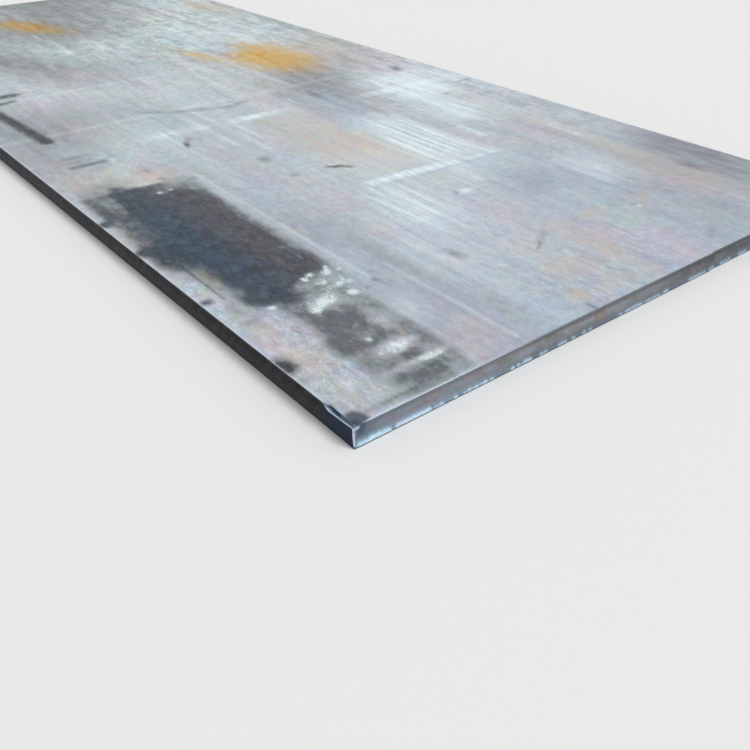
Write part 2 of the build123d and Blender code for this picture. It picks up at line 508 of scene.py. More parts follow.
MARKS: Dict[Pigment, List[Mark]] = {
    # The dark oily stain near the left side. Negative strengths wipe it.
    Pigment.FILM: [
        Blot(0.285, 1.170, 0.125, 0.405, 1.0, 0.045, 0.0, 6.0),
        Blot(0.420, 1.180, 0.052, 0.410, 0.72, 0.036, 0.0, 6.0),
        Blot(0.365, 1.530, 0.090, 0.100, 0.90, 0.045, 0.0, 3.0),
        Blot(0.285, 1.620, 0.115, 0.080, 0.90, 0.035, 0.0, 3.0),
        Blot(0.290, 1.750, 0.060, 0.050, 0.55, 0.030),
        Blot(0.272, 0.765, 0.125, 0.060, 1.0, 0.035, 20.0, 3.0),
        Blot(0.435, 0.830, 0.035, 0.060, 0.66, 0.022, 0.0, 4.0),
        Blot(0.212, 1.700, 0.056, 0.108, 1.0, 0.020, 0.0, 5.0),
        Blot(0.215, 1.792, 0.130, 0.012, 0.50, 0.018, 0.0, 4.0),
        Blot(0.150, 1.150, 0.040, 0.160, 0.70, 0.030, 0.0, 3.0),
        Blot(0.158, 1.500, 0.030, 0.250, 0.55, 0.030, 0.0, 3.0),
        Blot(0.090, 1.170, 0.060, 0.110, 0.58, 0.035, 0.0, 3.0),
        Blot(0.030, 1.225, 0.040, 0.035, 0.85, 0.022),
        Blot(0.050, 1.110, 0.030, 0.050, 0.55, 0.025),
        Blot(0.018, 1.535, 0.026, 0.030, 0.80, 0.020),
        Blot(0.158, 0.880, 0.030, 0.180, 0.80, 0.030, 0.0, 3.0),
        Blot(0.155, 0.700, 0.028, 0.030, 0.60, 0.025),
        Blot(0.200, 1.550, 0.028, 0.250, 0.60, 0.020, 0.0, 3.0),
        Blot(0.095, 1.430, 0.052, 0.340, 0.56, 0.028, 0.0, 4.0),
        Blot(0.060, 1.690, 0.014, 0.110, 0.22, 0.016, 0.0, 3.0),
        Blot(0.230, 0.650, 0.045, 0.060, 0.62, 0.030),
        Stroke((0.080, 0.770), (0.080, 1.070), 0.003, 0.80, 0.007),
        Blot(0.120, 1.350, 0.035, 0.070, -0.25, 0.030),
        Blot(0.070, 1.300, 0.012, 0.030, -0.30, 0.014),
        Blot(0.060, 1.480, 0.014, 0.050, -0.40, 0.016),
        Blot(0.135, 1.000, 0.014, 0.050, -0.30, 0.014),
        Blot(0.140, 0.780, 0.014, 0.030, -0.35, 0.014),
        Blot(0.390, 1.420, 0.030, 0.060, -0.10, 0.030),
        Blot(0.150, 1.255, 0.030, 0.010, -0.30, 0.010),
        Blot(0.122, 1.660, 0.020, 0.050, -0.55, 0.020),
        Blot(0.112, 1.610, 0.018, 0.040, -0.50, 0.020),
        Blot(0.335, 1.710, 0.020, 0.030, -0.40, 0.020),
        Blot(0.345, 1.350, 0.010, 0.050, -0.20, 0.015, -20.0),
        Blot(0.006, 0.010, 0.020, 0.014, 0.90, 0.010),
    ],
    # The thinner grey film around and in front of it
    Pigment.HAZE: [
        Blot(0.310, 0.350, 0.125, 0.310, 0.50, 0.030, 0.0, 5.0),
        Blot(0.235, 0.555, 0.045, 0.055, 0.88, 0.022, 0.0, 3.0),
        Blot(0.270, 0.430, 0.066, 0.065, 1.00, 0.026, 0.0, 4.0),
        Blot(0.225, 0.320, 0.060, 0.060, 0.90, 0.022, 0.0, 4.0),
        Blot(0.330, 0.410, 0.035, 0.090, 0.70, 0.022, 0.0, 3.0),
        Blot(0.300, 0.285, 0.050, 0.022, 0.60, 0.018),
        Blot(0.215, 0.200, 0.035, 0.090, 0.50, 0.022, 0.0, 3.0),
        Blot(0.422, 0.205, 0.022, 0.095, 0.72, 0.020, 0.0, 4.0),
        Blot(0.325, 0.167, 0.038, 0.022, 0.95, 0.016),
        Blot(0.320, 0.068, 0.080, 0.034, 1.00, 0.018, 0.0, 4.0),
        Blot(0.235, 0.085, 0.035, 0.025, 0.55, 0.020),
        Blot(0.420, 0.060, 0.012, 0.030, 0.60, 0.012),
        Blot(0.420, 0.440, 0.020, 0.100, 0.50, 0.022, 0.0, 3.0),
        Blot(0.330, 0.660, 0.070, 0.035, 0.55, 0.025),
        Blot(0.238, 0.640, 0.050, 0.060, 0.85, 0.025),
        Blot(0.390, 0.600, 0.030, 0.035, 0.45, 0.020),
        Blot(0.100, 1.350, 0.070, 0.350, 0.70, 0.025, 0.0, 4.0),
        Blot(0.085, 1.680, 0.040, 0.130, 0.75, 0.022, 0.0, 5.0),
        Blot(0.105, 0.860, 0.032, 0.210, 0.45, 0.022, 0.0, 3.0),
        Blot(0.400, 1.700, 0.060, 0.080, 0.65, 0.030),
        Blot(0.462, 1.220, 0.022, 0.480, 0.50, 0.022, 0.0, 5.0),
        Blot(0.470, 1.650, 0.025, 0.060, 0.50, 0.025),
        Blot(0.200, 1.835, 0.030, 0.030, 0.80, 0.020),
        Blot(0.170, 1.880, 0.090, 0.060, 0.35, 0.035),
        Blot(0.495, 1.755, 0.022, 0.016, 0.60, 0.014),
        Blot(0.190, 0.032, 0.090, 0.009, 0.80, 0.010),
        Blot(0.330, 0.020, 0.090, 0.006, 0.50, 0.010),
        Blot(0.270, 0.012, 0.070, 0.008, 0.55, 0.008),
        Blot(0.062, 0.595, 0.022, 0.014, 0.55, 0.014),
        Blot(0.066, 0.680, 0.014, 0.030, 0.40, 0.012),
        Blot(0.390, 0.365, 0.035, 0.040, -0.35, 0.020, 0.0, 3.0),
        Blot(0.315, 1.745, 0.058, 0.042, 0.95, 0.020, 0.0, 4.0),
        Blot(1.150, 4.950, 0.140, 0.300, 0.24, 0.120),
        Blot(1.380, 5.550, 0.160, 0.250, 0.26, 0.120),
        Blot(1.450, 5.960, 0.400, 0.120, 0.50, 0.080),
        Blot(0.330, 0.130, 0.095, 0.010, -0.85, 0.010, 0.0, 3.0),
        Blot(0.325, 0.225, 0.060, 0.026, -0.85, 0.016),
        Blot(0.310, 0.560, 0.060, 0.026, -0.60, 0.016, 20.0),
    ],
    # Where a film or a grey stretch is bluish
    Pigment.SLATE: [
        Blot(0.205, 1.220, 0.078, 0.560, 1.0, 0.065, 0.0, 4.0),
        Blot(0.110, 1.150, 0.080, 0.120, 0.60, 0.040),
        Blot(0.100, 1.450, 0.070, 0.300, 0.60, 0.040, 0.0, 4.0),
        Blot(0.006, 0.010, 0.030, 0.020, 1.0, 0.010),
        Blot(0.020, 0.070, 0.024, 0.050, 1.0, 0.016),
        Blot(1.600, 2.160, 0.160, 0.200, 1.0, 0.080),
        Blot(1.580, 0.880, 0.200, 0.200, 1.0, 0.080),
    ],
    # Small dark smears, dashes and scratches
    Pigment.SMUDGE: [
        *trail([(0.150, 3.200), (0.176, 2.850), (0.194, 2.580)], 0.028, 1.2, 0.018),
        Stroke((0.240, 3.445), (0.320, 3.445), 0.034, 1.0, 0.020),
        Stroke((0.320, 3.450), (0.400, 3.455), 0.012, 0.40, 0.016),
        Stroke((0.210, 3.316), (0.290, 3.332), 0.020, 0.90, 0.016),
        Stroke((0.155, 2.180), (0.290, 2.180), 0.014, 0.78, 0.018),
        Blot(0.210, 2.300, 0.060, 0.016, 0.45, 0.014),
        Blot(0.190, 2.240, 0.040, 0.020, 0.35, 0.020),
        Blot(0.680, 2.145, 0.010, 0.034, 1.10, 0.010, -20.0),
        Blot(0.720, 2.210, 0.012, 0.022, 0.45, 0.012, -20.0),
        Blot(0.390, 1.960, 0.016, 0.040, 0.45, 0.018),
        Blot(0.402, 1.825, 0.018, 0.020, 0.55, 0.016),
        Blot(0.850, 1.760, 0.020, 0.036, 0.55, 0.016),
        Blot(0.850, 1.520, 0.018, 0.018, 0.35, 0.014),
        *trail(
            [(1.015, 1.510), (1.045, 1.490), (1.060, 1.485), (1.095, 1.450)],
            0.012,
            0.75,
            0.008,
        ),
        Blot(0.865, 0.550, 0.018, 0.034, 0.50, 0.018),
        Blot(0.840, 0.600, 0.008, 0.012, 0.30, 0.010),
        Blot(0.530, 0.575, 0.007, 0.016, 0.60, 0.008),
        Blot(0.478, 0.550, 0.008, 0.008, 0.55, 0.008),
        Blot(2.240, 0.550, 0.020, 0.050, 0.50, 0.020),
        Blot(2.285, 2.580, 0.024, 0.045, 0.80, 0.020, -20.0),
        Blot(1.600, 2.440, 0.018, 0.050, 0.45, 0.020),
        Blot(2.170, 2.010, 0.024, 0.014, 0.40, 0.012),
        Stroke((2.370, 2.140), (2.480, 2.155), 0.006, 0.70, 0.008),
        *trail(
            [
                (0.720, 2.750),
                (0.800, 2.670),
                (0.900, 2.620),
                (1.000, 2.580),
                (1.130, 2.530),
                (1.250, 2.570),
            ],
            0.012,
            0.42,
            0.026,
        ),
        Stroke((1.120, 0.402), (1.160, 0.430), 0.004, 0.60, 0.006),
        Stroke((1.160, 0.430), (1.240, 0.490), 0.008, 0.30, 0.012),
        Stroke((0.942, 0.000), (0.942, 0.040), 0.005, 0.70, 0.006),
        Stroke((1.355, 0.030), (1.355, 0.200), 0.006, 0.35, 0.010),
        Blot(1.248, 0.952, 0.008, 0.010, 0.50, 0.008),
        Stroke((1.300, 1.188), (1.740, 1.175), 0.004, 0.22, 0.012),
        Blot(0.025, 0.785, 0.020, 0.018, 0.85, 0.010),
        Blot(0.010, 0.335, 0.034, 0.044, 1.10, 0.018),
        Blot(0.048, 0.315, 0.014, 0.010, 0.40, 0.010),
        Blot(0.018, 0.245, 0.012, 0.016, 0.40, 0.010),
        Blot(0.005, 0.110, 0.008, 0.020, 0.50, 0.008),
        Stroke((0.120, 4.600), (0.160, 4.350), 0.012, 0.60, 0.018),
        Blot(0.420, 5.250, 0.030, 0.060, 0.50, 0.030),
        Blot(2.310, 3.900, 0.020, 0.045, 0.50, 0.020),
        Stroke((1.980, 0.100), (2.060, 0.130), 0.004, 0.50, 0.008),
        Stroke((1.670, 0.080), (1.760, 0.130), 0.006, 0.30, 0.012),
        Blot(0.660, 0.700, 0.016, 0.120, 0.20, 0.020, 0.0, 3.0),
    ],
    # Whitish flecks and scuffs, most of them at the stain's front edge
    Pigment.CHALK: [
        *[Blot(across, along, size, size, 1.05, 0.012) for across, along, size in FLECKS],
        Stroke((0.440, 0.715), (0.458, 0.760), 0.005, 0.90, 0.008),
        Stroke((0.446, 0.640), (0.458, 0.668), 0.003, 0.70, 0.007),
        Blot(0.400, 0.670, 0.080, 0.080, 0.28, 0.040),
        Blot(0.230, 0.585, 0.050, 0.040, 0.34, 0.030),
        Blot(0.100, 0.440, 0.060, 0.160, 0.28, 0.050),
        Blot(0.090, 0.150, 0.070, 0.080, 0.22, 0.040),
        Blot(0.320, 1.810, 0.100, 0.014, 0.55, 0.020),
        Blot(0.310, 0.562, 0.050, 0.022, 0.95, 0.018, 25.0),
        Blot(0.330, 0.555, 0.022, 0.018, 0.80, 0.012),
        Blot(0.322, 0.225, 0.036, 0.028, 0.90, 0.020),
        Blot(0.385, 0.230, 0.020, 0.016, 0.50, 0.018),
        Blot(0.265, 0.218, 0.010, 0.012, 0.60, 0.010),
        Blot(0.372, 0.126, 0.040, 0.013, 0.85, 0.012),
        Blot(0.290, 0.134, 0.040, 0.006, 0.40, 0.010),
        Blot(0.390, 0.370, 0.034, 0.030, 0.36, 0.026),
        Blot(0.380, 0.620, 0.030, 0.016, 0.30, 0.016),
        Blot(1.290, 0.950, 0.032, 0.026, 0.90, 0.020),
        Blot(1.705, 0.415, 0.014, 0.008, 0.70, 0.010),
        Stroke((1.645, 0.450), (1.715, 0.402), 0.010, 0.50, 0.014),
        Blot(1.580, 0.440, 0.010, 0.010, 0.40, 0.010),
        Blot(1.150, 0.365, 0.010, 0.008, 0.55, 0.008),
        Stroke((0.305, 1.025), (0.325, 1.040), 0.004, 0.35, 0.006),
        Stroke((0.130, 1.245), (0.170, 1.255), 0.004, 0.28, 0.007),
        Stroke((0.265, 1.220), (0.280, 1.250), 0.003, 0.22, 0.006),
        Blot(0.228, 0.870, 0.005, 0.012, 0.22, 0.006),
        Blot(0.240, 0.715, 0.006, 0.012, 0.30, 0.007),
        Blot(0.325, 1.335, 0.006, 0.020, 0.20, 0.010, -30.0),
        Blot(0.270, 0.590, 0.010, 0.010, 0.30, 0.010),
    ],
    # Whitish bands and streaks where the scale is polished pale, brightened further with painted
    # sky reflection
    Pigment.FROST_AND_SHEEN: [
        *trail([(1.040, 1.252), (1.240, 1.238), (1.460, 1.215)], 0.022, 0.70, 0.020),
        Stroke((1.460, 1.215), (1.600, 1.206), 0.014, 0.50, 0.020),
        Stroke((1.600, 1.206), (1.800, 1.190), 0.012, 0.22, 0.020),
        Blot(1.175, 1.240, 0.070, 0.016, 0.70, 0.020, 0.0, 3.0),
        Blot(1.345, 1.230, 0.055, 0.020, 0.85, 0.020, 0.0, 3.0),
        Blot(0.680, 2.335, 0.080, 0.028, 0.55, 0.035, 0.0, 4.0),
        Blot(0.850, 2.320, 0.030, 0.030, 0.60, 0.030),
        Blot(1.140, 2.312, 0.085, 0.026, 0.95, 0.026, 0.0, 4.0),
        Blot(1.290, 2.310, 0.080, 0.020, 0.35, 0.030),
        Blot(2.110, 2.255, 0.225, 0.032, 1.00, 0.026, 0.0, 4.0),
        Blot(2.110, 2.150, 0.190, 0.130, 0.75, 0.080),
        Blot(2.130, 2.400, 0.180, 0.130, 0.75, 0.100),
        Blot(2.000, 1.820, 0.110, 0.180, 0.55, 0.080),
        Blot(1.975, 1.680, 0.060, 0.060, 0.40, 0.050),
        Blot(1.560, 1.560, 0.150, 0.360, 0.45, 0.060, 0.0, 3.0),
        Blot(1.030, 0.960, 0.130, 0.200, 0.40, 0.080),
        Blot(1.920, 0.800, 0.080, 0.150, 0.42, 0.070),
        Blot(0.850, 2.660, 0.700, 0.012, 0.35, 0.016, 0.0, 6.0),
        Blot(1.100, 3.330, 0.700, 0.014, 0.35, 0.018, 0.0, 6.0),
        Blot(0.950, 0.650, 0.350, 0.300, 0.20, 0.150),
        Blot(1.250, 1.250, 0.450, 0.350, 0.22, 0.150),
        Blot(2.400, 2.350, 0.120, 0.300, 0.35, 0.100),
        Blot(2.050, 4.050, 0.300, 0.400, 0.28, 0.200),
        Blot(2.120, 1.800, 0.180, 0.350, 0.22, 0.120),
        Blot(0.500, 0.380, 0.060, 0.080, 0.25, 0.050),
        Blot(0.560, 2.450, 0.150, 0.250, 0.22, 0.100),
        Blot(1.050, 3.000, 0.400, 0.500, 0.16, 0.250),
        *[
            Stroke((across, start), (across, end), half, strength, 0.010)
            for across, start, end, half, strength in FROST_LINES
        ],
    ],
    # Beige and peach dust
    Pigment.EARTH: [
        Blot(1.215, 1.790, 0.190, 0.420, 0.75, 0.080, 0.0, 4.0),
        Blot(1.150, 1.800, 0.060, 0.300, 0.60, 0.040, 0.0, 4.0),
        Blot(1.350, 1.600, 0.060, 0.220, 0.85, 0.040, 0.0, 4.0),
        Blot(1.230, 1.090, 0.130, 0.080, 0.45, 0.040, 0.0, 3.0),
        Blot(1.310, 0.340, 0.045, 0.150, 0.95, 0.035, 0.0, 4.0),
        Blot(1.520, 0.490, 0.060, 0.040, 0.70, 0.035),
        Blot(1.080, 0.500, 0.240, 0.010, 0.60, 0.014, 0.0, 4.0),
        Blot(1.820, 0.470, 0.110, 0.016, 0.60, 0.025, 30.0),
        Blot(1.100, 0.250, 0.080, 0.060, 0.85, 0.040, 0.0, 3.0),
        Blot(0.965, 0.090, 0.045, 0.034, 0.95, 0.025),
        Blot(1.120, 0.085, 0.060, 0.030, 0.85, 0.028),
        Blot(1.270, 0.060, 0.050, 0.040, 0.45, 0.035),
        Blot(1.100, 0.440, 0.060, 0.045, 0.75, 0.035, 0.0, 3.0),
        Blot(0.750, 0.875, 0.030, 0.040, 0.60, 0.030),
        Blot(2.125, 0.600, 0.090, 0.300, 0.60, 0.080),
        Blot(2.190, 1.450, 0.045, 0.550, 0.55, 0.040, 0.0, 4.0),
        Blot(0.090, 0.360, 0.060, 0.130, 0.75, 0.050),
        Blot(0.050, 0.520, 0.040, 0.060, 0.60, 0.040),
        Blot(0.110, 0.100, 0.090, 0.080, 0.45, 0.050),
        Blot(0.110, 0.910, 0.028, 0.090, 0.80, 0.020),
        Blot(0.060, 0.690, 0.035, 0.120, 0.45, 0.030),
        Blot(0.060, 1.450, 0.030, 0.120, 0.35, 0.030),
        Blot(0.370, 1.850, 0.090, 0.110, 0.55, 0.050),
        Blot(0.270, 1.950, 0.200, 0.130, 0.45, 0.060),
        Blot(0.110, 1.980, 0.090, 0.240, 0.40, 0.060),
        Blot(0.110, 1.640, 0.030, 0.080, 0.60, 0.025),
        Blot(0.285, 0.132, 0.040, 0.010, 0.90, 0.010),
        Blot(0.560, 0.130, 0.080, 0.080, 0.35, 0.050),
        Blot(2.120, 3.280, 0.350, 0.400, 0.60, 0.200),
        Blot(2.380, 4.950, 0.140, 0.280, 0.65, 0.100),
        Blot(1.450, 3.200, 0.200, 0.350, 0.35, 0.150),
    ],
    # Rust blooms, streaked along the rolled length
    Pigment.RUST: [
        Blot(1.845, 3.235, 0.182, 0.300, 1.00, 0.110, 0.0, 2.6),
        Blot(1.910, 3.560, 0.100, 0.200, 0.50, 0.100),
        Blot(1.530, 3.580, 0.056, 0.300, 0.64, 0.056, 8.0),
        Blot(2.000, 3.300, 0.330, 0.450, 0.24, 0.200),
        Blot(1.000, 5.060, 0.100, 0.300, 1.00, 0.070, 22.0),
        Blot(1.000, 5.150, 0.200, 0.480, 0.30, 0.150, 15.0),
        Blot(2.300, 4.900, 0.080, 0.200, 0.35, 0.080),
        Blot(1.300, 5.980, 0.120, 0.030, 0.80, 0.030),
    ],
    # Greyer stretches of the face
    Pigment.SHADE: [
        Blot(1.700, 2.380, 0.200, 0.260, 0.55, 0.140),
        Blot(1.560, 2.500, 0.120, 0.100, 0.35, 0.080),
        Blot(1.780, 2.800, 0.200, 0.220, 0.80, 0.120),
        Blot(1.500, 2.160, 0.110, 0.170, 0.35, 0.080),
        Blot(1.200, 5.900, 0.900, 0.500, 1.00, 0.450),
        Blot(1.250, 6.000, 0.700, 0.350, 0.90, 0.350),
        Blot(0.800, 5.450, 0.900, 0.800, 0.90, 0.400),
        Blot(1.150, 4.900, 0.400, 0.450, 0.80, 0.250),
        Blot(1.600, 5.600, 0.500, 0.450, 0.50, 0.250),
        Blot(2.100, 0.450, 0.400, 0.400, 0.30, 0.150),
        Blot(2.420, 0.650, 0.150, 0.330, 1.00, 0.080),
        Blot(2.400, 0.500, 0.120, 0.250, 0.70, 0.080),
        Blot(1.720, 2.620, 0.240, 0.200, 0.50, 0.120),
        Blot(0.660, 0.680, 0.040, 0.200, 0.35, 0.040, 0.0, 3.0),
        Blot(0.150, 2.700, 0.200, 0.450, 0.75, 0.160),
        Blot(0.110, 2.080, 0.140, 0.320, 0.45, 0.080),
        Blot(0.480, 2.750, 0.350, 0.300, 0.45, 0.180),
        Blot(1.580, 0.880, 0.150, 0.120, 0.32, 0.080, -40.0),
        Blot(2.400, 3.400, 0.110, 0.450, 0.40, 0.100),
        Blot(1.750, 0.080, 0.220, 0.090, 0.25, 0.080),
        Blot(0.020, 0.068, 0.014, 0.044, 0.60, 0.014),
        Blot(1.950, 5.250, 0.220, 0.250, -0.60, 0.150),
        Blot(0.620, 0.650, 0.120, 0.600, 0.34, 0.060, 0.0, 4.0),
        Blot(0.880, 1.250, 0.110, 0.250, 0.22, 0.080),
        Blot(1.620, 1.380, 0.100, 0.120, 0.14, 0.060),
        Blot(2.150, 0.550, 0.100, 0.250, 0.22, 0.080),
        Blot(2.120, 1.380, 0.100, 0.150, 0.18, 0.080),
        Blot(1.880, 2.380, 0.100, 0.100, 0.22, 0.080),
        Blot(2.420, 4.500, 0.120, 0.800, 0.30, 0.080, 0.0, 4.0),
        Blot(2.050, 3.000, 0.220, 0.250, 0.36, 0.100),
        Blot(1.380, 2.750, 0.130, 0.250, 0.25, 0.100),
        Blot(0.560, 4.150, 0.200, 0.700, 1.00, 0.140, 20.0),
        Blot(1.060, 3.580, 0.170, 0.400, 0.34, 0.120),
    ],
    # Stretches with many-coloured gritty dust
    Pigment.GRIT: [
        Blot(0.100, 0.350, 0.110, 0.360, 1.00, 0.060, 0.0, 4.0),
        Blot(0.075, 0.850, 0.070, 0.220, 1.00, 0.030, 0.0, 3.0),
        Blot(0.200, 2.050, 0.280, 0.260, 0.70, 0.100, 0.0, 3.0),
        Blot(0.380, 1.740, 0.110, 0.120, 0.90, 0.040),
        Blot(0.100, 1.450, 0.100, 0.400, 0.80, 0.030, 0.0, 4.0),
        Blot(0.310, 0.350, 0.150, 0.340, 0.55, 0.040, 0.0, 4.0),
        Blot(0.500, 0.600, 0.080, 0.200, 0.40, 0.060),
        Blot(1.150, 0.150, 0.600, 0.200, 0.40, 0.120),
        Blot(1.150, 1.700, 0.300, 0.450, 0.25, 0.120),
    ],
    # The burnt near corner
    Pigment.BURN: [
        Blot(0.024, 0.028, 0.030, 0.030, 1.0, 0.020),
        Blot(0.014, 0.008, 0.036, 0.020, 0.90, 0.012),
        Blot(0.120, 0.028, 0.014, 0.008, 0.60, 0.010),
    ],
}


# Relief of the sides


@dataclass(frozen=True)
class Ripple:
    """A seeded wavy line: a sum of sines, from 0 to 1."""

    seed: int
    shortest: float
    longest: float
    waves: int = 14

    def at(self, place: np.ndarray) -> np.ndarray:
        """Return the line's height at each place.

        The sines' wavelengths run from shortest to longest by equal ratios, each with its own
        seeded phase. With s their sum over the root of their number, the height is 0.5 + 0.35 s,
        cut to the range 0 to 1.

        Args:
            place: Distance along the line, in metres.

        Returns:
            Height from 0 to 1.
        """
        draw = np.random.default_rng(self.seed)
        lengths = np.geomspace(self.shortest, self.longest, self.waves)
        phases = draw.uniform(0.0, 2.0 * np.pi, self.waves)
        turns = 2.0 * np.pi * place[..., None] / lengths + phases
        waves = np.sin(turns).sum(-1) / math.sqrt(self.waves)
        return np.clip(0.5 + 0.35 * waves, 0.0, 1.0)


def rise(values: np.ndarray, low: float, high: float) -> np.ndarray:
    """Return a smooth step of an array, 3t^2 - 2t^3 of its share between low and high."""
    share = np.clip((values - low) / (high - low), 0.0, 1.0)
    return share * share * (3.0 - 2.0 * share)


@dataclass(frozen=True)
class SlagRun:
    """A stretch of hardened slag along the foot of a cut."""

    start: float
    end: float
    height: float
    swell: float = 1.0


def scattered_slag(start: float, end: float, count: int, seed: int) -> List[SlagRun]:
    """Return seeded stretches of slag.

    Args:
        start: Where they begin, in metres from the left side.
        end: Where they stop.
        count: How many there are.
        seed: Seed of their places and sizes.

    Returns:
        The stretches.
    """
    shortest_half, longest_half = 0.006, 0.030
    lowest, highest = 0.005, 0.011
    draw = np.random.default_rng(seed)
    places = draw.uniform(start, end, count)
    halves = draw.uniform(shortest_half, longest_half, count)
    heights = draw.uniform(lowest, highest, count)
    rows = np.stack([places - halves, places + halves, heights], -1).tolist()
    return [SlagRun(*row) for row in rows]


def front_slag() -> List[SlagRun]:
    """Return the slag along the foot of the front cut, from the near corner on.

    The long runs are rows of start, end, height and, where it isn't 1, swell. The beads are
    short runs about a place. Past them the photo shows less, so seeded runs follow.

    Returns:
        The runs.
    """
    long_runs = [
        (0.010, 0.045, 0.0115), (0.045, 0.090, 0.0160), (0.085, 0.122, 0.0130),
        (0.136, 0.262, 0.0130), (0.270, 0.310, 0.0060, 0.5), (0.380, 0.480, 0.0050, 0.5),
        (0.615, 0.655, 0.0125), (0.770, 0.810, 0.0100, 0.8), (1.090, 1.180, 0.0110),
        (1.195, 1.260, 0.0070, 0.8), (1.295, 1.325, 0.0115, 0.8), (1.435, 1.540, 0.0085),
        (1.630, 1.680, 0.0080, 0.8),
    ]
    beads = (
        0.295, 0.350, 0.400, 0.430, 0.465, 0.490, 0.575, 0.600, 0.695, 0.715, 0.840,
        0.890, 0.920, 1.070, 1.175, 1.200, 1.240, 1.270, 1.565, 1.585, 1.690,
    )
    half, height, swell = 0.008, 0.0095, 0.8
    runs = [SlagRun(*row) for row in long_runs]
    runs += [SlagRun(bead - half, bead + half, height, swell) for bead in beads]
    return runs + scattered_slag(start=1.74, end=2.48, count=12, seed=71)


@dataclass
class CutEnd:
    """Relief of a flame-cut end: melted arris, drag lines and a foot of hardened slag."""

    thickness: float
    runs: List[SlagRun]
    seed: int
    arris: float = 0.0020
    arris_wear: float = 0.0006
    arris_waves: Span = (0.02, 0.3)
    arris_seed_step: int = 7
    foot_height: float = 0.014
    foot_reach: float = 0.003
    land: float = 0.002
    bare_reach: float = 0.80
    drag_depth: float = 0.00035
    drag_waves: Span = (0.009, 0.060)
    drag_lag: float = 0.045
    wander_depth: float = 0.0005
    wander_waves: Tuple[float, float, int] = (0.25, 1.4, 6)
    run_edge: float = 0.007

    def worn(self, across: np.ndarray) -> np.ndarray:
        """Return the size of the worn arris at each place."""
        wear = Ripple(self.seed + self.arris_seed_step, *self.arris_waves).at(across)
        return self.arris + self.arris_wear * wear

    def slag(self, across: np.ndarray) -> Tuple[np.ndarray, np.ndarray]:
        """Return how far the slag swells and how high it climbs.

        Each run is a flat-topped hump with smooth ends, and the highest hump counts.

        Args:
            across: Distance from the left side, in metres.

        Returns:
            Swell from 0 to 1, and height in metres.
        """
        swell, height = np.zeros_like(across), np.zeros_like(across)
        for run in self.runs:
            hump = rise(across, run.start - self.run_edge, run.start + self.run_edge)
            hump = hump * (1.0 - rise(across, run.end - self.run_edge, run.end + self.run_edge))
            swell = np.maximum(swell, run.swell * hump)
            height = np.maximum(height, run.height * hump)
        return swell, height

    def inset(self, across: np.ndarray, height: np.ndarray) -> np.ndarray:
        """Return how far the cut face lies behind its nominal plane.

        The drag lines are a ripple that trails back by the square of the depth below the top.
        The foot flares out by the square of its share from foot height down to the land, more
        where slag has gathered.

        Args:
            across: Distance from the left side.
            height: Height above the underside.

        Returns:
            Inset in metres, negative where the foot flares out.
        """
        depth = 1.0 - height / self.thickness
        drag = Ripple(self.seed, *self.drag_waves).at(across - self.drag_lag * depth * depth)
        wander = Ripple(self.seed + 1, *self.wander_waves).at(across)
        foot = np.clip((self.foot_height - height) / (self.foot_height - self.land), 0.0, 1.0)
        swell, _ = self.slag(across)
        flare = self.foot_reach * foot * foot * (self.bare_reach + (1 - self.bare_reach) * swell)
        return (1.0 - foot) * (self.drag_depth * drag + self.wander_depth * wander) - flare


@dataclass
class FrontCut(CutEnd):
    """The near end's cut, with its burnt corner, a chipped arris and a restart."""

    restart: float = 1.570
    restart_setback: float = 0.003
    restart_edge: float = 0.002
    pit_radius: float = 0.004
    corner_along_front: float = 0.016
    corner_along_side: float = 0.005
    corner_fade: Span = (-0.009, 0.045)
    chip: float = 0.365
    chip_half: float = 0.006
    chip_depth: float = 0.0035
    chip_drop: float = 0.008

    def inset(self, across: np.ndarray, height: np.ndarray) -> np.ndarray:
        """Return how far the front cut lies behind its nominal plane.

        To the plain cut it adds the setback past the restart, the restart's half-round pit, a
        flat facet off the near corner, fading towards its foot, and a chip that fades down from
        the top arris.

        Args:
            across: Distance from the left side.
            height: Height above the underside.

        Returns:
            Inset in metres.
        """
        plain = super().inset(across, height)
        beyond = across - self.restart
        setback = self.restart_setback * rise(beyond, -self.restart_edge, self.restart_edge)
        pit = np.sqrt(np.clip(self.pit_radius**2 - beyond**2, 0.0, None))
        facet = self.corner_along_side * np.clip(1.0 - across / self.corner_along_front, 0.0, 1.0)
        facet = facet * rise(height, *self.corner_fade)
        bite = np.clip(1.0 - ((across - self.chip) / self.chip_half) ** 2, 0.0, 1.0)
        bite = bite * np.clip(1.0 - (self.thickness - height) / self.chip_drop, 0.0, 1.0)
        return plain + np.maximum(setback, pit) + facet + self.chip_depth * bite


@dataclass
class TrimmedSide:
    """Relief of a long side: a worn arris and a slightly wavy face."""

    seed: int = 31
    arris: float = 0.0015
    arris_wear: float = 0.0006
    arris_waves: Span = (0.03, 0.4)
    wave_depth: float = 0.0005
    wave_lengths: Tuple[float, float, int] = (0.12, 1.2, 8)
    wave_lean: float = 0.2

    def edge(self, along: np.ndarray) -> Tuple[np.ndarray, np.ndarray, np.ndarray]:
        """Return the arris at each place along the side.

        Args:
            along: Distance from the front cut.

        Returns:
            Its inset into the face, its drop down the side, and how flat a facet it is.
        """
        worn = self.arris + self.arris_wear * Ripple(self.seed, *self.arris_waves).at(along)
        return worn, worn, np.zeros_like(along)

    def inset(self, along: np.ndarray, height: np.ndarray) -> np.ndarray:
        """Return the wave of the side face, a ripple along it that leans with the height."""
        wave = Ripple(self.seed + 1, *self.wave_lengths)
        return self.wave_depth * wave.at(along + self.wave_lean * height)


